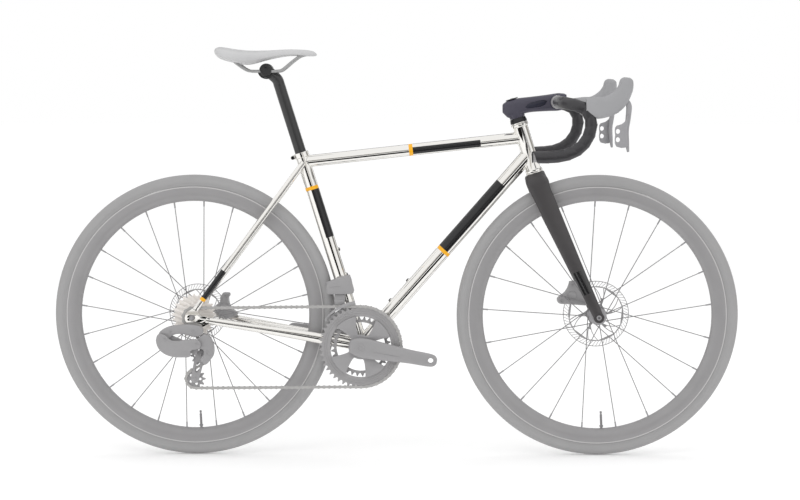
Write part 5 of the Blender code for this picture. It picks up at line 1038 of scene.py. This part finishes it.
disc_steel = Finish("disc_steel", (0.36, 0.355, 0.36), 0.4, 0.15).hazy(150.0, 0.34, 0.16).grainy(700.0, 0.08).made
ghost = Finish("component_alloy", (0.315, 0.31, 0.315), 0.42, Coat_Weight=0.1)
ghost = ghost.cloudy(24.0, (0.3, 0.295, 0.3), (0.34, 0.334, 0.34)).grainy(1100.0, 0.06).made

SLOTS, BRIDGE, SLANT = 60, 0.0085, 0.11


def on(centre, r, a):
    """The (x, z) at a radius and an angle about a centre."""
    return (centre.x + r * math.cos(a), centre.z + r * math.sin(a))


def repainted(name, material):
    """Keeps a CAD node's shape and gives it a new material."""
    for slot in nodes[name].material_slots:
        slot.material = material


for name, axle, radius, y in (("front", FRONT_AXLE, 0.08, 0.0347), ("rear", REAR_AXLE, 0.07, 0.0557)):
    step = 2 * math.pi / SLOTS
    high, low = radius - 0.0016, radius - 0.013
    holes = []
    for i in range(SLOTS):
        a, b = i * step + BRIDGE, (i + 1) * step - BRIDGE
        holes.append([on(axle, high, a), on(axle, high, b), on(axle, low, b + SLANT), on(axle, low, a + SLANT)])
    deep, rise = radius - 0.015, radius - 0.015 - 0.026
    for i in range(6):
        start, following = i * math.pi / 3, (i + 1) * math.pi / 3
        gap, fork = [], []
        for k in range(9):
            share = k / 8
            r, turn, half = 0.026 + rise * share, 0.42 * share, 0.07 + 0.13 * share
            gap.append((r, start + turn + half))
            gap.insert(0, (r, following + turn - half))
            if share > 0.3:
                fork.append((r, start + turn + half - 0.0016 / r - 0.012))
                fork.insert(0, (r, start + turn - half + 0.0016 / r + 0.012))
        holes += [[on(axle, r, a) for r, a in gap], [on(axle, r, a) for r, a in fork]]
    disc = plated(
        name + "_rotor_slotted", [ring_of(axle, radius, 120), ring_of(axle, 0.0175, 48), *holes], y, 0.0018,
        0.00012,
    )
    dressed(disc, name + "_wheel", disc_steel, name + "_rotor", slot="grey_metal")
    ring = [(0.012, 0.0012), (0.0182, 0.0012), (0.019, 0.002), (0.019, 0.0034), (0.015, 0.0044), (0.012, 0.0044)]
    dressed(spun(name + "_lock_ring", ring, axle + LEFT * y, LEFT, 48, closed=True), name + "_wheel", turned_grey)

for name, axle, radius, y, body, outline, bolts, piston_at in (
    (
        "front", FRONT_AXLE, 0.08, 0.0347, "fork",
        (
            (0.42, 0.417), (0.4385, 0.417), (0.45, 0.3985), (0.461, 0.374), (0.464, 0.3605), (0.44, 0.361),
            (0.4187, 0.3628), (0.3985, 0.3635), (0.3915, 0.3685), (0.3912, 0.3765), (0.3985, 0.383), (0.408, 0.39),
            (0.415, 0.4), (0.4185, 0.4095),
        ),
        ((0.4262, 0.4105), (0.4005, 0.3705)), (0.427, 0.384),
    ),
    (
        "rear", REAR_AXLE, 0.07, 0.0557, "frame",
        (
            (-0.4235, 0.3865), (-0.4085, 0.3862), (-0.4065, 0.379), (-0.4095, 0.3765), (-0.408, 0.36),
            (-0.401, 0.3475),
            (-0.39, 0.3385), (-0.3885, 0.333), (-0.4035, 0.3265), (-0.418, 0.324), (-0.439, 0.337), (-0.444, 0.353),
            (-0.431, 0.3635), (-0.43, 0.376), (-0.427, 0.3815),
        ),
        ((-0.416, 0.38), (-0.399, 0.336)), (-0.4215, 0.352),
    ),
):
    closed = looped(outline, 3)
    block = plated(name + "_caliper_cast", [closed], y + 0.003, 0.0255, 0.0024)
    cut_out = rod("core", axle + LEFT * (y - 0.0043), axle + LEFT * (y + 0.0043), radius + 0.0025, 96)
    middle = Vector((piston_at[0], 0, piston_at[1]))
    hollow = plated("hollow", [ring_of(middle, 0.0118, 40)], y - 0.011, 0.003, 0.0001)
    block = joined(block, [cut_out, hollow])
    cap = [(0.0, 0.0), (0.0095, 0.0), (0.0102, 0.0006), (0.0102, 0.0024), (0.006, 0.0034), (0.0, 0.0034)]
    extras = [
        spun("piston_cap", cap, middle + LEFT * (y - 0.0083), -LEFT, 40),
        spun("piston_cap", cap, middle + LEFT * (y + 0.0155), LEFT, 40),
    ]
    for x, z in bolts:
        extras.append(spun("caliper_bolt", bolt_profile, Vector((x, y - 0.0097, z)), -LEFT, 24))
    block = merged(name + "_caliper_cast", [block, *extras])
    dressed(block, body, ghost, name + "_caliper", slot="component_grey")
    for side in ("left", "right"):
        repainted(f"{name}_pad_{side}", disc_steel)

# --- Chainrings and cranks ----------------------------------------------------------------------
# Hollow forged cranks on a steel spindle. The right one carries a broad four-armed spider with a big
# ring of 48 teeth outside it and a small one of 34 inside.

CRANK_TURN = math.radians(-10.2)
PITCH = 0.0127


def pitch_circle(teeth):
    return PITCH / 2 / math.sin(math.pi / teeth)


def toothed(centre, teeth, phase, reach=0.0034):
    """A sprocket's outline: round valleys on the chain's pitch circle and blunt teeth between them."""
    step = 2 * math.pi / teeth
    profile = (
        (-0.3, -0.0002), (-0.22, -0.0026), (-0.12, -0.004), (0.0, -0.0044), (0.12, -0.004), (0.22, -0.0026),
        (0.3, -0.0002), (0.39, reach * 0.72), (0.45, reach), (0.55, reach), (0.61, reach * 0.72),
    )
    radius = pitch_circle(teeth)
    return [on(centre, radius + rise, phase + step * (i + share)) for i in range(teeth) for share, rise in profile]


ring_grey = Finish("ring_grey", (0.325, 0.318, 0.322), 0.4, Coat_Weight=0.1)
ring_grey.cloudy(24.0, (0.31, 0.303, 0.307), (0.345, 0.338, 0.342))
ring_grey = ring_grey.bump(ring_grey.lathed(BB, 2600.0), 0.06, 0.0003).made
arms = sorted(CRANK_TURN + math.radians(a) for a in (50, 130, -130, -50))
turns = list(zip(arms, arms[1:] + [arms[0] + 2 * math.pi]))
for name, teeth, y, inner in (("big", 48, -0.047, 0.073), ("small", 34, -0.04, 0.0585)):
    hole = []
    for arm, following in turns:
        hole += [on(BB, r, arm + offset) for offset, r in ((-0.2, inner), (-0.17, 0.05), (0.17, 0.05), (0.2, inner))]
        hole += [on(BB, inner, arm + 0.2 + (following - arm - 0.4) * k / 10) for k in range(1, 10)]
    ring = plated(name + "_ring_toothed", [toothed(BB, teeth, -0.124452), hole], y, 0.0018, 0.0002)
    dressed(ring, "crankset", ring_grey, name + "_chainring", slot="grey_metal", smooth=30)
for number, (r_in, r_out) in enumerate(((0.073, 0.0805), (0.082, 0.0855), (0.0868, 0.0892))):
    step = [(r_in, 0.0), (r_in + 0.0003, 0.0007), (r_out - 0.0003, 0.0007), (r_out, 0.0)]
    dressed(spun(f"ring_step_{number}", step, BB - LEFT * 0.0478, -LEFT, 96, closed=True), "crankset", ring_grey)


def flare(r):
    """Half the width of a spider's arm at a radius, as an angle."""
    return math.asin((0.0095 + 0.015 * max(0.0, (r - 0.032) / 0.038) ** 1.3) / r)


star = []
for arm, following in turns:
    out = [0.031, 0.035, 0.04, 0.046, 0.053, 0.06, 0.067, 0.0725]
    star += [(r, arm - flare(r)) for r in out] + [(0.0742, arm + flare(0.0742) * k / 4) for k in range(-4, 5)]
    star += [(r, arm + flare(r)) for r in reversed(out)]
    start, end = arm + flare(0.031), following - flare(0.031)
    star += [(0.0295, start + (end - start) * (k + 0.5) / 8) for k in range(8)]
spider = plated("spider", [[on(BB, r, a) for r, a in star]], -0.0515, 0.0068, 0.0012)
for name, turn, side in (("right", CRANK_TURN, -1), ("left", CRANK_TURN + math.pi, 1)):
    way = Vector((math.cos(turn), 0, math.sin(turn)))
    across = Vector((-way.z, 0, way.x))
    rows = eased((
        (-0.0265, 0.018, 0.06, 0.0655), (-0.024, 0.03, 0.0575, 0.069), (-0.012, 0.042, 0.0575, 0.0703),
        (0.01, 0.048, 0.0575, 0.0706), (0.04, 0.045, 0.058, 0.0708), (0.08, 0.0385, 0.0586, 0.0712),
        (0.12, 0.033, 0.0594, 0.0718), (0.158, 0.0318, 0.0606, 0.0726), (0.174, 0.029, 0.0608, 0.073),
        (0.1815, 0.021, 0.061, 0.0729), (0.185, 0.01, 0.0615, 0.0722),
    ), 4)
    sections = [(BB + way * r[0] + LEFT * side * (r[2] + r[3]) / 2, way, across, r[1], r[3] - r[2]) for r in rows]
    arm = lofted("crank_forged_" + name, sections, 36, 0.55)
    arm = joined(arm, [rod("boss", BB + LEFT * side * 0.0465, BB + LEFT * side * 0.064, 0.0215, 56)], "UNION")
    eye = BB + way * 0.17
    arm = joined(arm, [rod("core", eye + LEFT * side * 0.04, eye + LEFT * side * 0.09, 0.0066, 40)])
    if side > 0:
        arm = joined(arm, [rod("core", BB + LEFT * 0.03, BB + LEFT * 0.06, 0.0123, 40)])
    line = BB - across * 0.0035
    groove = [
        line + way * u - across * v
        for u, v in ((0.03, 0.0), (0.075, 0.0), (0.1, 0.0008), (0.075, 0.0016), (0.03, 0.0016))
    ]
    arm = joined(arm, [plated("crease", [[(p.x, p.z) for p in groove]], side * 0.0735, 0.0066, 0.00005)])
    spindle = [(0.0, 0.0), (0.0115, 0.0), (0.012, 0.0005), (0.012, 0.1235), (0.0115, 0.124), (0.0, 0.124)]
    parts = [arm, spider, spun("spindle", spindle, BB - LEFT * 0.06, LEFT, 40)] if side < 0 else [arm]
    dressed(
        merged("crank_forged_" + name, parts), "crankset", ghost, "crank_" + name, slot="component_grey", smooth=40,
    )
    rim = [(0.0064, -0.0005), (0.0064, 0.0002), (0.0078, 0.0002), (0.0082, -0.0005)]
    insert = spun("pedal_thread_" + name, rim, eye + LEFT * side * 0.073, LEFT * side, 40, closed=True)
    dressed(insert, "crankset", turned_grey)
    cap = [(0.0, 0.0), (0.01, 0.0), (0.0104, 0.0004), (0.01, 0.001), (0.006, 0.0012), (0.0055, 0.0004), (0.0, 0.0004)]
    dressed(spun("crank_cap_" + name, cap, BB + LEFT * side * 0.0703, LEFT * side, 40), "crankset", ghost)

# --- Cassette -----------------------------------------------------------------------------------
# Eleven nickelled cogs of 11 to 25 teeth with spacers between them, held by a lock ring.

cog_pale = Finish("cog_pale", (0.84, 0.8, 0.76), 0.4, 0.0)
cog_pale.cloudy(60.0, (0.8, 0.76, 0.72), (0.9, 0.87, 0.84), haze=(0.34, 0.14))
cog_pale = cog_pale.bump(cog_pale.lathed(REAR_AXLE, 4200.0), 0.06, 0.0002).made
cogs = []
for i, teeth in enumerate((11, 12, 13, 14, 15, 16, 17, 19, 21, 23, 25)):
    y = -0.0635 + 0.0037 * i
    holes = [ring_of(REAR_AXLE, 0.0144, 48)]
    web = pitch_circle(teeth) - 0.0065
    if teeth >= 17:
        mid = (0.0175 + web) / 2
        for k in range(8):
            x, z = on(REAR_AXLE, mid, 2 * math.pi * (k + 0.1 * i) / 8)
            holes.append(ring_of(Vector((x, 0, z)), min((web - 0.0175) / 2, mid * 0.27), 16))
    cogs.append(plated("cog", [toothed(REAR_AXLE, teeth, 2.954824, 0.0027), *holes], y, 0.0016, 0.0002))
    if i < 10:
        spacer = [(0.0144, 0.0), (0.0168, 0.0), (0.0168, 0.0021), (0.0144, 0.0021)]
        cogs.append(spun("spacer", spacer, REAR_AXLE + LEFT * (y + 0.0008), LEFT, 40, closed=True))
lock = [(0.0125, 0.0), (0.0165, 0.0), (0.0169, 0.0004), (0.0167, 0.0014), (0.014, 0.0022), (0.0125, 0.0014)]
cogs.append(spun("lock_ring", lock, REAR_AXLE - LEFT * 0.0645, -LEFT, 48, closed=True))
dressed(merged("cassette_cogs", cogs), "cassette", cog_pale, "cassette", slot="cassette_pale", smooth=30)

# --- Chain --------------------------------------------------------------------------------------
# A roller chain of 108 links: waisted plates, narrow and wide in turn, on pins that carry rollers. It
# runs from the big ring's top to the smallest cog, round both pulleys and forward again.

LINKS, STEP = 108, 0.0005
GUIDE, TENSION = Vector((-0.466, 0, 0.249)), Vector((-0.47947, 0, 0.191558))
COG_LINE, RING_LINE = -0.0635, -0.047
wheels = ((BB, 48, 1), (REAR_AXLE, 11, 1), (GUIDE, 11, -1), (TENSION, 11, 1))
leaves, arrives = [], []
for i, (centre, teeth, way) in enumerate(wheels):
    other, other_teeth, other_way = wheels[(i + 1) % 4]
    reach = other - centre
    lean = math.acos((pitch_circle(teeth) - way * other_way * pitch_circle(other_teeth)) / reach.length)
    leaves.append(math.atan2(reach.z, reach.x) - way * lean)
    arrives.append(leaves[-1] if way == other_way else leaves[-1] + math.pi)
trail = []
for i in range(4):
    centre, teeth, way = wheels[(i + 1) % 4]
    begins = Vector(on(wheels[i][0], pitch_circle(wheels[i][1]), leaves[i]))
    ends = Vector(on(centre, pitch_circle(teeth), arrives[i]))
    run = (ends - begins).length
    trail += [begins.lerp(ends, k * STEP / run) for k in range(int(run / STEP))]
    sweep = (leaves[(i + 1) % 4] - arrives[i]) * way % (2 * math.pi) * way
    count = int(abs(sweep) * pitch_circle(teeth) / STEP)
    trail += [Vector(on(centre, pitch_circle(teeth), arrives[i] + sweep * k / count)) for k in range(count)]
pins = [trail[0]]
for before, point in zip(trail, trail[1:]):
    near, far = (before - pins[-1]).length, (point - pins[-1]).length
    if far >= PITCH > near:
        pins.append(before.lerp(point, (PITCH - near) / (far - near)))
pins = pins[:LINKS]
seats = []
for p in pins:
    share = min(max((p.x - REAR_AXLE.x - 0.052) / (BB.x - 0.055 - REAR_AXLE.x - 0.052), 0), 1)
    seats.append(Vector((p.x, COG_LINE + (RING_LINE - COG_LINE) * share, p.y)))
half_plate = [(0.0041 * math.cos(a), 0.0041 * math.sin(a)) for a in [math.radians(50 + 26 * k) for k in range(11)]]
half_plate += [(PITCH * 0.36, -0.0029), (PITCH * 0.64, -0.0029)]
plate_form = half_plate + [(PITCH - u, -v) for u, v in half_plate]


def stacked(shape, rings):
    """Skins closed rings of points into one solid with flat ends."""
    rows = [[shape.verts.new(p) for p in ring] for ring in rings]
    for a, b in zip(rows, rows[1:]):
        for k in range(len(a)):
            shape.faces.new((a[k - 1], a[k], b[k], b[k - 1]))
    shape.faces.new(rows[0])
    shape.faces.new(rows[-1])


plates, rollers = bmesh.new(), bmesh.new()
for i, seat in enumerate(seats):
    run = seats[(i + 1) % LINKS] - seat
    along, over = run.normalized(), Vector((-run.z, 0, run.x)).normalized()
    inner = 0.0012 + (0.00078 if i % 2 else 0.0)
    for side in (1, -1):
        levels = (inner, inner + 0.0001, inner + 0.00062, inner + 0.00072)
        rings = []
        for level, size in zip(levels, (0.95, 1.0, 1.0, 0.95)):
            middle = seat + run / 2 + LEFT * side * level
            rings.append([middle + (along * (u - PITCH / 2) + over * v) * size for u, v in plate_form])
        stacked(plates, rings)
    for shape, radius, reach, count in ((plates, 0.0018, 0.0029, 10), (rollers, 0.0037, 0.0012, 14)):
        ring = [
            (radius * math.cos(2 * math.pi * k / count), radius * math.sin(2 * math.pi * k / count))
            for k in range(count)
        ]
        stacked(shape, [[seat + along * u + over * v + LEFT * y for u, v in ring] for y in (-reach, reach)])
chain_steel = Finish("chain_steel", (0.42, 0.415, 0.41), 0.34, 0.15)
chain_steel.cloudy(160.0, (0.38, 0.375, 0.37), (0.5, 0.49, 0.48), haze=(0.3, 0.16))
chain_steel = chain_steel.grainy(900.0, 0.06).made
for name, shape, material, stands, group in (
    ("chain_plates", plates, chain_steel, ["chain"], "chain_grey"), ("chain_rollers", rollers, disc_steel, [], None),
):
    bpy.ops.mesh.primitive_cube_add()
    piece = begin(name)
    bmesh.ops.recalc_face_normals(shape, faces=shape.faces)
    shape.to_mesh(piece.data)
    shape.free()
    dressed(piece, "frame", material, *stands, smooth=30, slot=group)

# --- Rear derailleur ----------------------------------------------------------------------------
# An electric derailleur with a cast body. It hangs from the right dropout, its wide outer link and a
# narrow inner one swing the lower knuckle, and that carries a sprung cage with two toothed pulleys.

for name, outline, y, thickness, bevel, bolts in (
    (
        "rd_b_knuckle",
        (
            (-0.465, 0.3204), (-0.4568, 0.3121), (-0.4603, 0.2991), (-0.4757, 0.2944), (-0.4923, 0.2984),
            (-0.5112, 0.3022),
            (-0.529, 0.299), (-0.538, 0.289), (-0.546, 0.279), (-0.5574, 0.2814), (-0.5633, 0.2932),
            (-0.5609, 0.3062),
            (-0.5491, 0.315), (-0.5325, 0.3211), (-0.5112, 0.3235), (-0.4875, 0.3245),
        ),
        -0.084, 0.0134, 0.0028, ((-0.479, 0.31, 0.0055), (-0.5345, 0.3085, 0.003)),
    ),
    (
        "rd_outer_link",
        (
            (-0.5684, 0.2883), (-0.5648, 0.2729), (-0.5565, 0.2611), (-0.5424, 0.2521), (-0.5246, 0.2476),
            (-0.5057, 0.2469),
            (-0.488, 0.2488), (-0.4849, 0.2623), (-0.475, 0.266), (-0.4655, 0.2685), (-0.461, 0.276),
            (-0.4645, 0.286),
            (-0.474, 0.2905), (-0.485, 0.29), (-0.4986, 0.289), (-0.5175, 0.2864), (-0.5329, 0.2887),
            (-0.5447, 0.2989),
            (-0.5565, 0.3031), (-0.5648, 0.3001),
        ),
        -0.0962, 0.0096, 0.003, ((-0.545, 0.292, 0.005), (-0.47, 0.279, 0.0045)),
    ),
    (
        "rd_p_knuckle",
        (
            (-0.4781, 0.2766), (-0.4686, 0.292), (-0.4544, 0.3015), (-0.4426, 0.2968), (-0.4343, 0.2826),
            (-0.431, 0.2672),
            (-0.4326, 0.2518), (-0.4395, 0.2404), (-0.4508, 0.2288), (-0.4615, 0.2345), (-0.4639, 0.2435),
            (-0.4568, 0.253),
            (-0.4579, 0.2636), (-0.471, 0.2672),
        ),
        -0.0812, 0.018, 0.003, ((-0.4475, 0.256, 0.0048),),
    ),
):
    closed = looped(outline, 4)
    cast = [plated(name + "_cast", [closed], y, thickness, bevel)]
    for x, z, size in bolts:
        head = [
            (0.0, 0.0), (size, 0.0), (size * 1.02, 0.0005), (size * 0.85, 0.0012), (size * 0.5, 0.0012),
            (size * 0.45, 0.0003), (0.0, 0.0003),
        ]
        cast.append(spun("pivot_bolt", head, Vector((x, y - thickness / 2, z)), -LEFT, 32))
    dressed(merged(name + "_cast", cast), name, ghost, name, slot="component_grey", smooth=50)

down = TENSION - GUIDE
aim, middle = math.atan2(down.z, down.x), (GUIDE + TENSION) / 2
for number, (y, half, out, stands, group) in enumerate((
    (-0.0703, 0.01, -LEFT, ["rd_cage"], "component_grey"), (-0.0567, 0.0085, LEFT, [], None),
)):
    plate = [on(TENSION, half, aim - math.pi / 2 + math.pi * k / 12) for k in range(13)]
    plate += [on(GUIDE, half + 0.002, aim + math.pi / 2 + math.pi * k / 12) for k in range(13)]
    turned = down.normalized()
    window = []
    for k in range(20):
        a = 2 * math.pi * k / 20
        p = middle + turned * 0.013 * math.cos(a) + Vector((-turned.z, 0, turned.x)) * 0.005 * math.sin(a)
        window.append((p.x, p.z))
    cage = [plated("rd_cage_plate", [plate, window], y, 0.0016, 0.0004)]
    for centre in (GUIDE, TENSION):
        head = [
            (0.0, -0.007), (0.0025, -0.007), (0.0025, 0.0), (0.0042, 0.0), (0.0042, 0.0008), (0.0022, 0.0014),
            (0.0, 0.0014),
        ]
        cage.append(spun("cage_bolt", head, centre + LEFT * y + out * 0.0008, out, 28))
    if number == 0:
        pivot = GUIDE + Vector((0.014, 0, 0.001))
        eye = [on(GUIDE, 0.0115, math.pi / 2 + math.pi * k / 10) for k in range(11)]
        eye += [on(pivot, 0.011, -math.pi / 2 + math.pi * k / 10) for k in range(11)]
        cage.append(plated("eye", [eye], y - 0.0003, 0.0018, 0.0004))
    dressed(merged(f"rd_cage_plate_{number}", cage), "rd_cage", ghost, *stands, slot=group)

for name, centre, phase in (("guide", GUIDE, -0.47676), ("tension", TENSION, -2.57857)):
    holes = [ring_of(centre, 0.0068, 32)]
    for k in range(5):
        x, z = on(centre, 0.0122, phase + 2 * math.pi * k / 5)
        holes.append(ring_of(Vector((x, 0, z)), 0.0032, 16))
    wheel = [plated(name + "_wheel", [toothed(centre, 11, phase, 0.0027), *holes], COG_LINE, 0.0017, 0.0003)]
    hub = mirrored([(0.003, -0.0055), (0.0066, -0.0055), (0.0074, -0.0046)])
    wheel.append(spun("hub", hub, centre + LEFT * COG_LINE, LEFT, 36, closed=True))
    dressed(
        merged(name + "_pulley_toothed", wheel), name + "_pulley", ghost, name + "_pulley", slot="component_grey",
        smooth=30,
    )

# --- Front derailleur ---------------------------------------------------------------------------
# An electric motor case clamped to the seat tube, a short link under it, and a pressed steel cage whose
# two plates follow the big ring on both sides of the chain.

outline = (
    (-0.1662, 0.4197), (-0.1613, 0.4233), (-0.1159, 0.4384), (-0.1085, 0.4345), (-0.1035, 0.4159), (-0.1012, 0.3958),
    (-0.1303, 0.3932), (-0.1482, 0.393), (-0.163, 0.3938), (-0.1658, 0.4063),
)
closed = looped(outline, 3)
case = plated("front_derailleur_case", [closed], -0.0355, 0.023, 0.0028)
rib = plated("rib", [[(-0.158, 0.4106), (-0.133, 0.4128), (-0.133, 0.4112), (-0.158, 0.4088)]], -0.047, 0.001, 0.0002)
case = joined(case, [rib])
motor_at = BB + SEAT_UP * (0.149 / SEAT_UP.z)
band = rod("band", motor_at - SEAT_UP * 0.01, motor_at + SEAT_UP * 0.01, 0.018, 64)
band = joined(band, [rod("core", motor_at - SEAT_UP * 0.03, motor_at + SEAT_UP * 0.03, 0.0161, 64)])
case = merged("front_derailleur_case", [case, band])
dressed(case, "frame", ghost, "front_derailleur_body", slot="component_grey", smooth=45)
for name in ("front_derailleur_link", "rd_inner_link"):
    repainted(name, ghost)
cage = []
shares = [k / 16 for k in range(17)]
for y, low, high in ((-0.0536, 0.1032, 0.1115), (-0.0418, 0.086, 0.1035)):
    low_edge = [on(BB, low + 0.004 * share**2, math.radians(97 + 46 * share)) for share in shares]
    top_edge = [on(BB, high - 0.003 * share**2, math.radians(97 + 46 * share)) for share in shares]
    cage.append(plated("cage_side", [low_edge + top_edge[::-1]], y, 0.0011, 0.0002))
x, z = on(BB, 0.1055, math.radians(142))
bridge = [(x - 0.002, z - 0.004), (x + 0.002, z - 0.004), (x + 0.002, z + 0.004), (x - 0.002, z + 0.004)]
cage.append(plated("bridge", [bridge], -0.0477, 0.0118, 0.0003))
tab = [(-0.144, 0.38), (-0.124, 0.38), (-0.12, 0.366), (-0.148, 0.366)]
cage.append(plated("tab", [tab], -0.0418, 0.0011, 0.0002))
dressed(
    merged("front_cage_pressed", cage), "front_derailleur_cage", disc_steel, "front_derailleur_cage",
    slot="grey_metal",
)

# --- Seatpost and saddle ------------------------------------------------------------------------
# A satin carbon post that sweeps back to a drum clamp. The drum holds the round steel rails of a
# foam-padded saddle, whose cover is stretched over the shell.

CLAMP = Vector((-0.309787, 0, 0.927138))
post_black = Finish("seatpost_carbon", (0.018, 0.018, 0.018), 0.3, Coat_Weight=0.3, Coat_Roughness=0.15)
post_black.cloudy(20.0, (0.013, 0.013, 0.013), (0.024, 0.024, 0.025))
post_black = post_black.grainy(900.0, 0.05).made
head = SEAT_TOP + SEAT_UP * 0.168
bend = [head - SEAT_UP * 0.02, head, head.lerp(CLAMP, 0.36) + Vector((0.0042, 0, 0.003)), CLAMP]
bend = [Vector(p) for p in eased(bend, 8)]
line = [SEAT_TOP - SEAT_UP * 0.17, SEAT_TOP, *bend]
sections = []
for i, point in enumerate(line):
    along = SEAT_UP if i < 3 else line[min(i + 1, len(line) - 1)] - line[i - 1]
    grow = 0.009 * max(0, i - 10) / (len(line) - 11)
    sections.append((point, along, LEFT, 0.0272 + grow, 0.0272))
post = lofted("seatpost_swept", sections, 56)
ball = crossing("ball", CLAMP, 0.016, 0.0205, 56)
cheek = joined(ball, [crossing("core", CLAMP, 0.05, 0.0168, 56)])
choose()
bpy.ops.mesh.primitive_cube_add(size=0.1, location=CLAMP + UP * 0.05)
cheek = joined(cheek, [begin("above")])
post = joined(post, [crossing("core", CLAMP, 0.05, 0.0168, 56)])
post = joined(post, [cheek], "UNION")
dressed(post, "seatpost", post_black, "seatpost", slot="black_carbon", smooth=45)

profile = mirrored(
    [(0.0, 0.0275), (0.0125, 0.0275), (0.0135, 0.0265), (0.0135, 0.017), (0.0158, 0.0165), (0.0165, 0.0158)],
)
drum = spun("clamp_drum", profile, CLAMP, LEFT, 56)
bores = []
for side in (1, -1):
    rail = CLAMP + LEFT * side * 0.022 - UP * 0.0018
    bores.append(rod("bore", rail - FORWARD * 0.03, rail + FORWARD * 0.03, 0.0038, 24))
dressed(joined(drum, bores), "saddle_clamp", post_black, "saddle_clamp", slot="grey_metal")
for side in (1, -1):
    bolt = spun(f"clamp_bolt_{side}", bolt_profile, CLAMP + LEFT * side * 0.0275 + UP * 0.007, LEFT * side, 24)
    dressed(bolt, "saddle_clamp", black_metal)

rail_steel = Finish("rail_steel", (0.36, 0.36, 0.36), 0.36, 0.2).hazy(70.0, 0.3, 0.14).made
half_rails = [
    (-0.078, 0.036, 0.024), (-0.066, 0.034, 0.014), (-0.05, 0.028, 0.003), (-0.036, 0.022, -0.0018),
    (-0.005, 0.022, -0.0018), (0.026, 0.022, -0.0018), (0.04, 0.0205, 0.002), (0.062, 0.017, 0.02),
    (0.08, 0.014, 0.033), (0.094, 0.01, 0.037), (0.101, 0.0, 0.0375),
]
rails = [Vector(p) for p in half_rails] + [Vector((x, -y, z)) for x, y, z in half_rails[-2::-1]]
rails = [CLAMP + Vector(p) for p in eased(rails, 6)]
dressed(drawn("saddle_rails_round", rails, 0.0035, sides=4), "saddle", rail_steel, "saddle_rails", slot="grey_metal")

cover = Finish("saddle_cover", (0.54, 0.54, 0.545), 0.46)
cover.cloudy(18.0, (0.51, 0.51, 0.515), (0.57, 0.57, 0.575), haze=(0.42, 0.1))
cover = cover.bump(cover.dots(900.0), 0.15, 0.0003).made
SADDLE_BASE = CLAMP + Vector((-0.124, 0, 0.0135))
rows = eased((
    (0.0005, 0.0358, 0.0325, 0.029, 0.02), (0.004, 0.04, 0.03, 0.023, 0.04), (0.012, 0.0425, 0.0265, 0.015, 0.056),
    (0.026, 0.0412, 0.0225, 0.0095, 0.0665), (0.053, 0.0372, 0.018, 0.003, 0.0722),
    (0.083, 0.0342, 0.016, 0.0, 0.066),
    (0.118, 0.0345, 0.0185, 0.009, 0.046), (0.148, 0.0362, 0.0222, 0.016, 0.0325),
    (0.178, 0.038, 0.025, 0.0205, 0.0255),
    (0.21, 0.0375, 0.0262, 0.0205, 0.0215), (0.23, 0.0355, 0.0262, 0.02, 0.018),
    (0.24, 0.032, 0.0255, 0.0205, 0.0125),
    (0.2445, 0.0275, 0.0246, 0.022, 0.0055),
), 4)
choose()
bpy.ops.mesh.primitive_circle_add(vertices=44, radius=1, fill_type="NGON")
seat = begin("saddle_padded")
bpy.ops.object.mode_set(mode="EDIT")
for i, (run, crown, edge, under, half) in enumerate(rows):
    if i:
        bpy.ops.mesh.extrude_region_move()
    skin = bmesh.from_edit_mesh(seat.data)
    if i == 0:
        ring = list(skin.verts)
        turns = [math.atan2(v.co.y, v.co.x) for v in ring]
        bpy.ops.mesh.select_all(action="SELECT")
    else:
        skin.verts.ensure_lookup_table()
        fresh = [v for v in skin.verts if v.select]
        ring = [min(fresh, key=lambda v, p=p: (v.co - p).length_squared) for p in shape]
    shape = []
    for vert, turn in zip(ring, turns):
        y = math.copysign(abs(math.cos(turn)) ** 0.8, math.cos(turn)) * half
        rise = abs(math.sin(turn)) ** 0.85
        z = edge + (crown - edge) * rise if math.sin(turn) > 0 else edge + (under - edge) * rise
        if math.sin(turn) > 0:
            z -= 0.0022 * math.exp(-((y / 0.01) ** 2)) * min(1.0, max(0.0, (run - 0.03) / 0.04))
        vert.co = SADDLE_BASE + Vector((run, y, z))
        shape.append(vert.co.copy())
    bmesh.update_edit_mesh(seat.data)
outward()
worn(seat, ("SUBSURF", {"levels": 1, "render_levels": 1}))
dressed(settle(seat), "saddle", cover, "saddle", slot="saddle_grey", smooth=60)
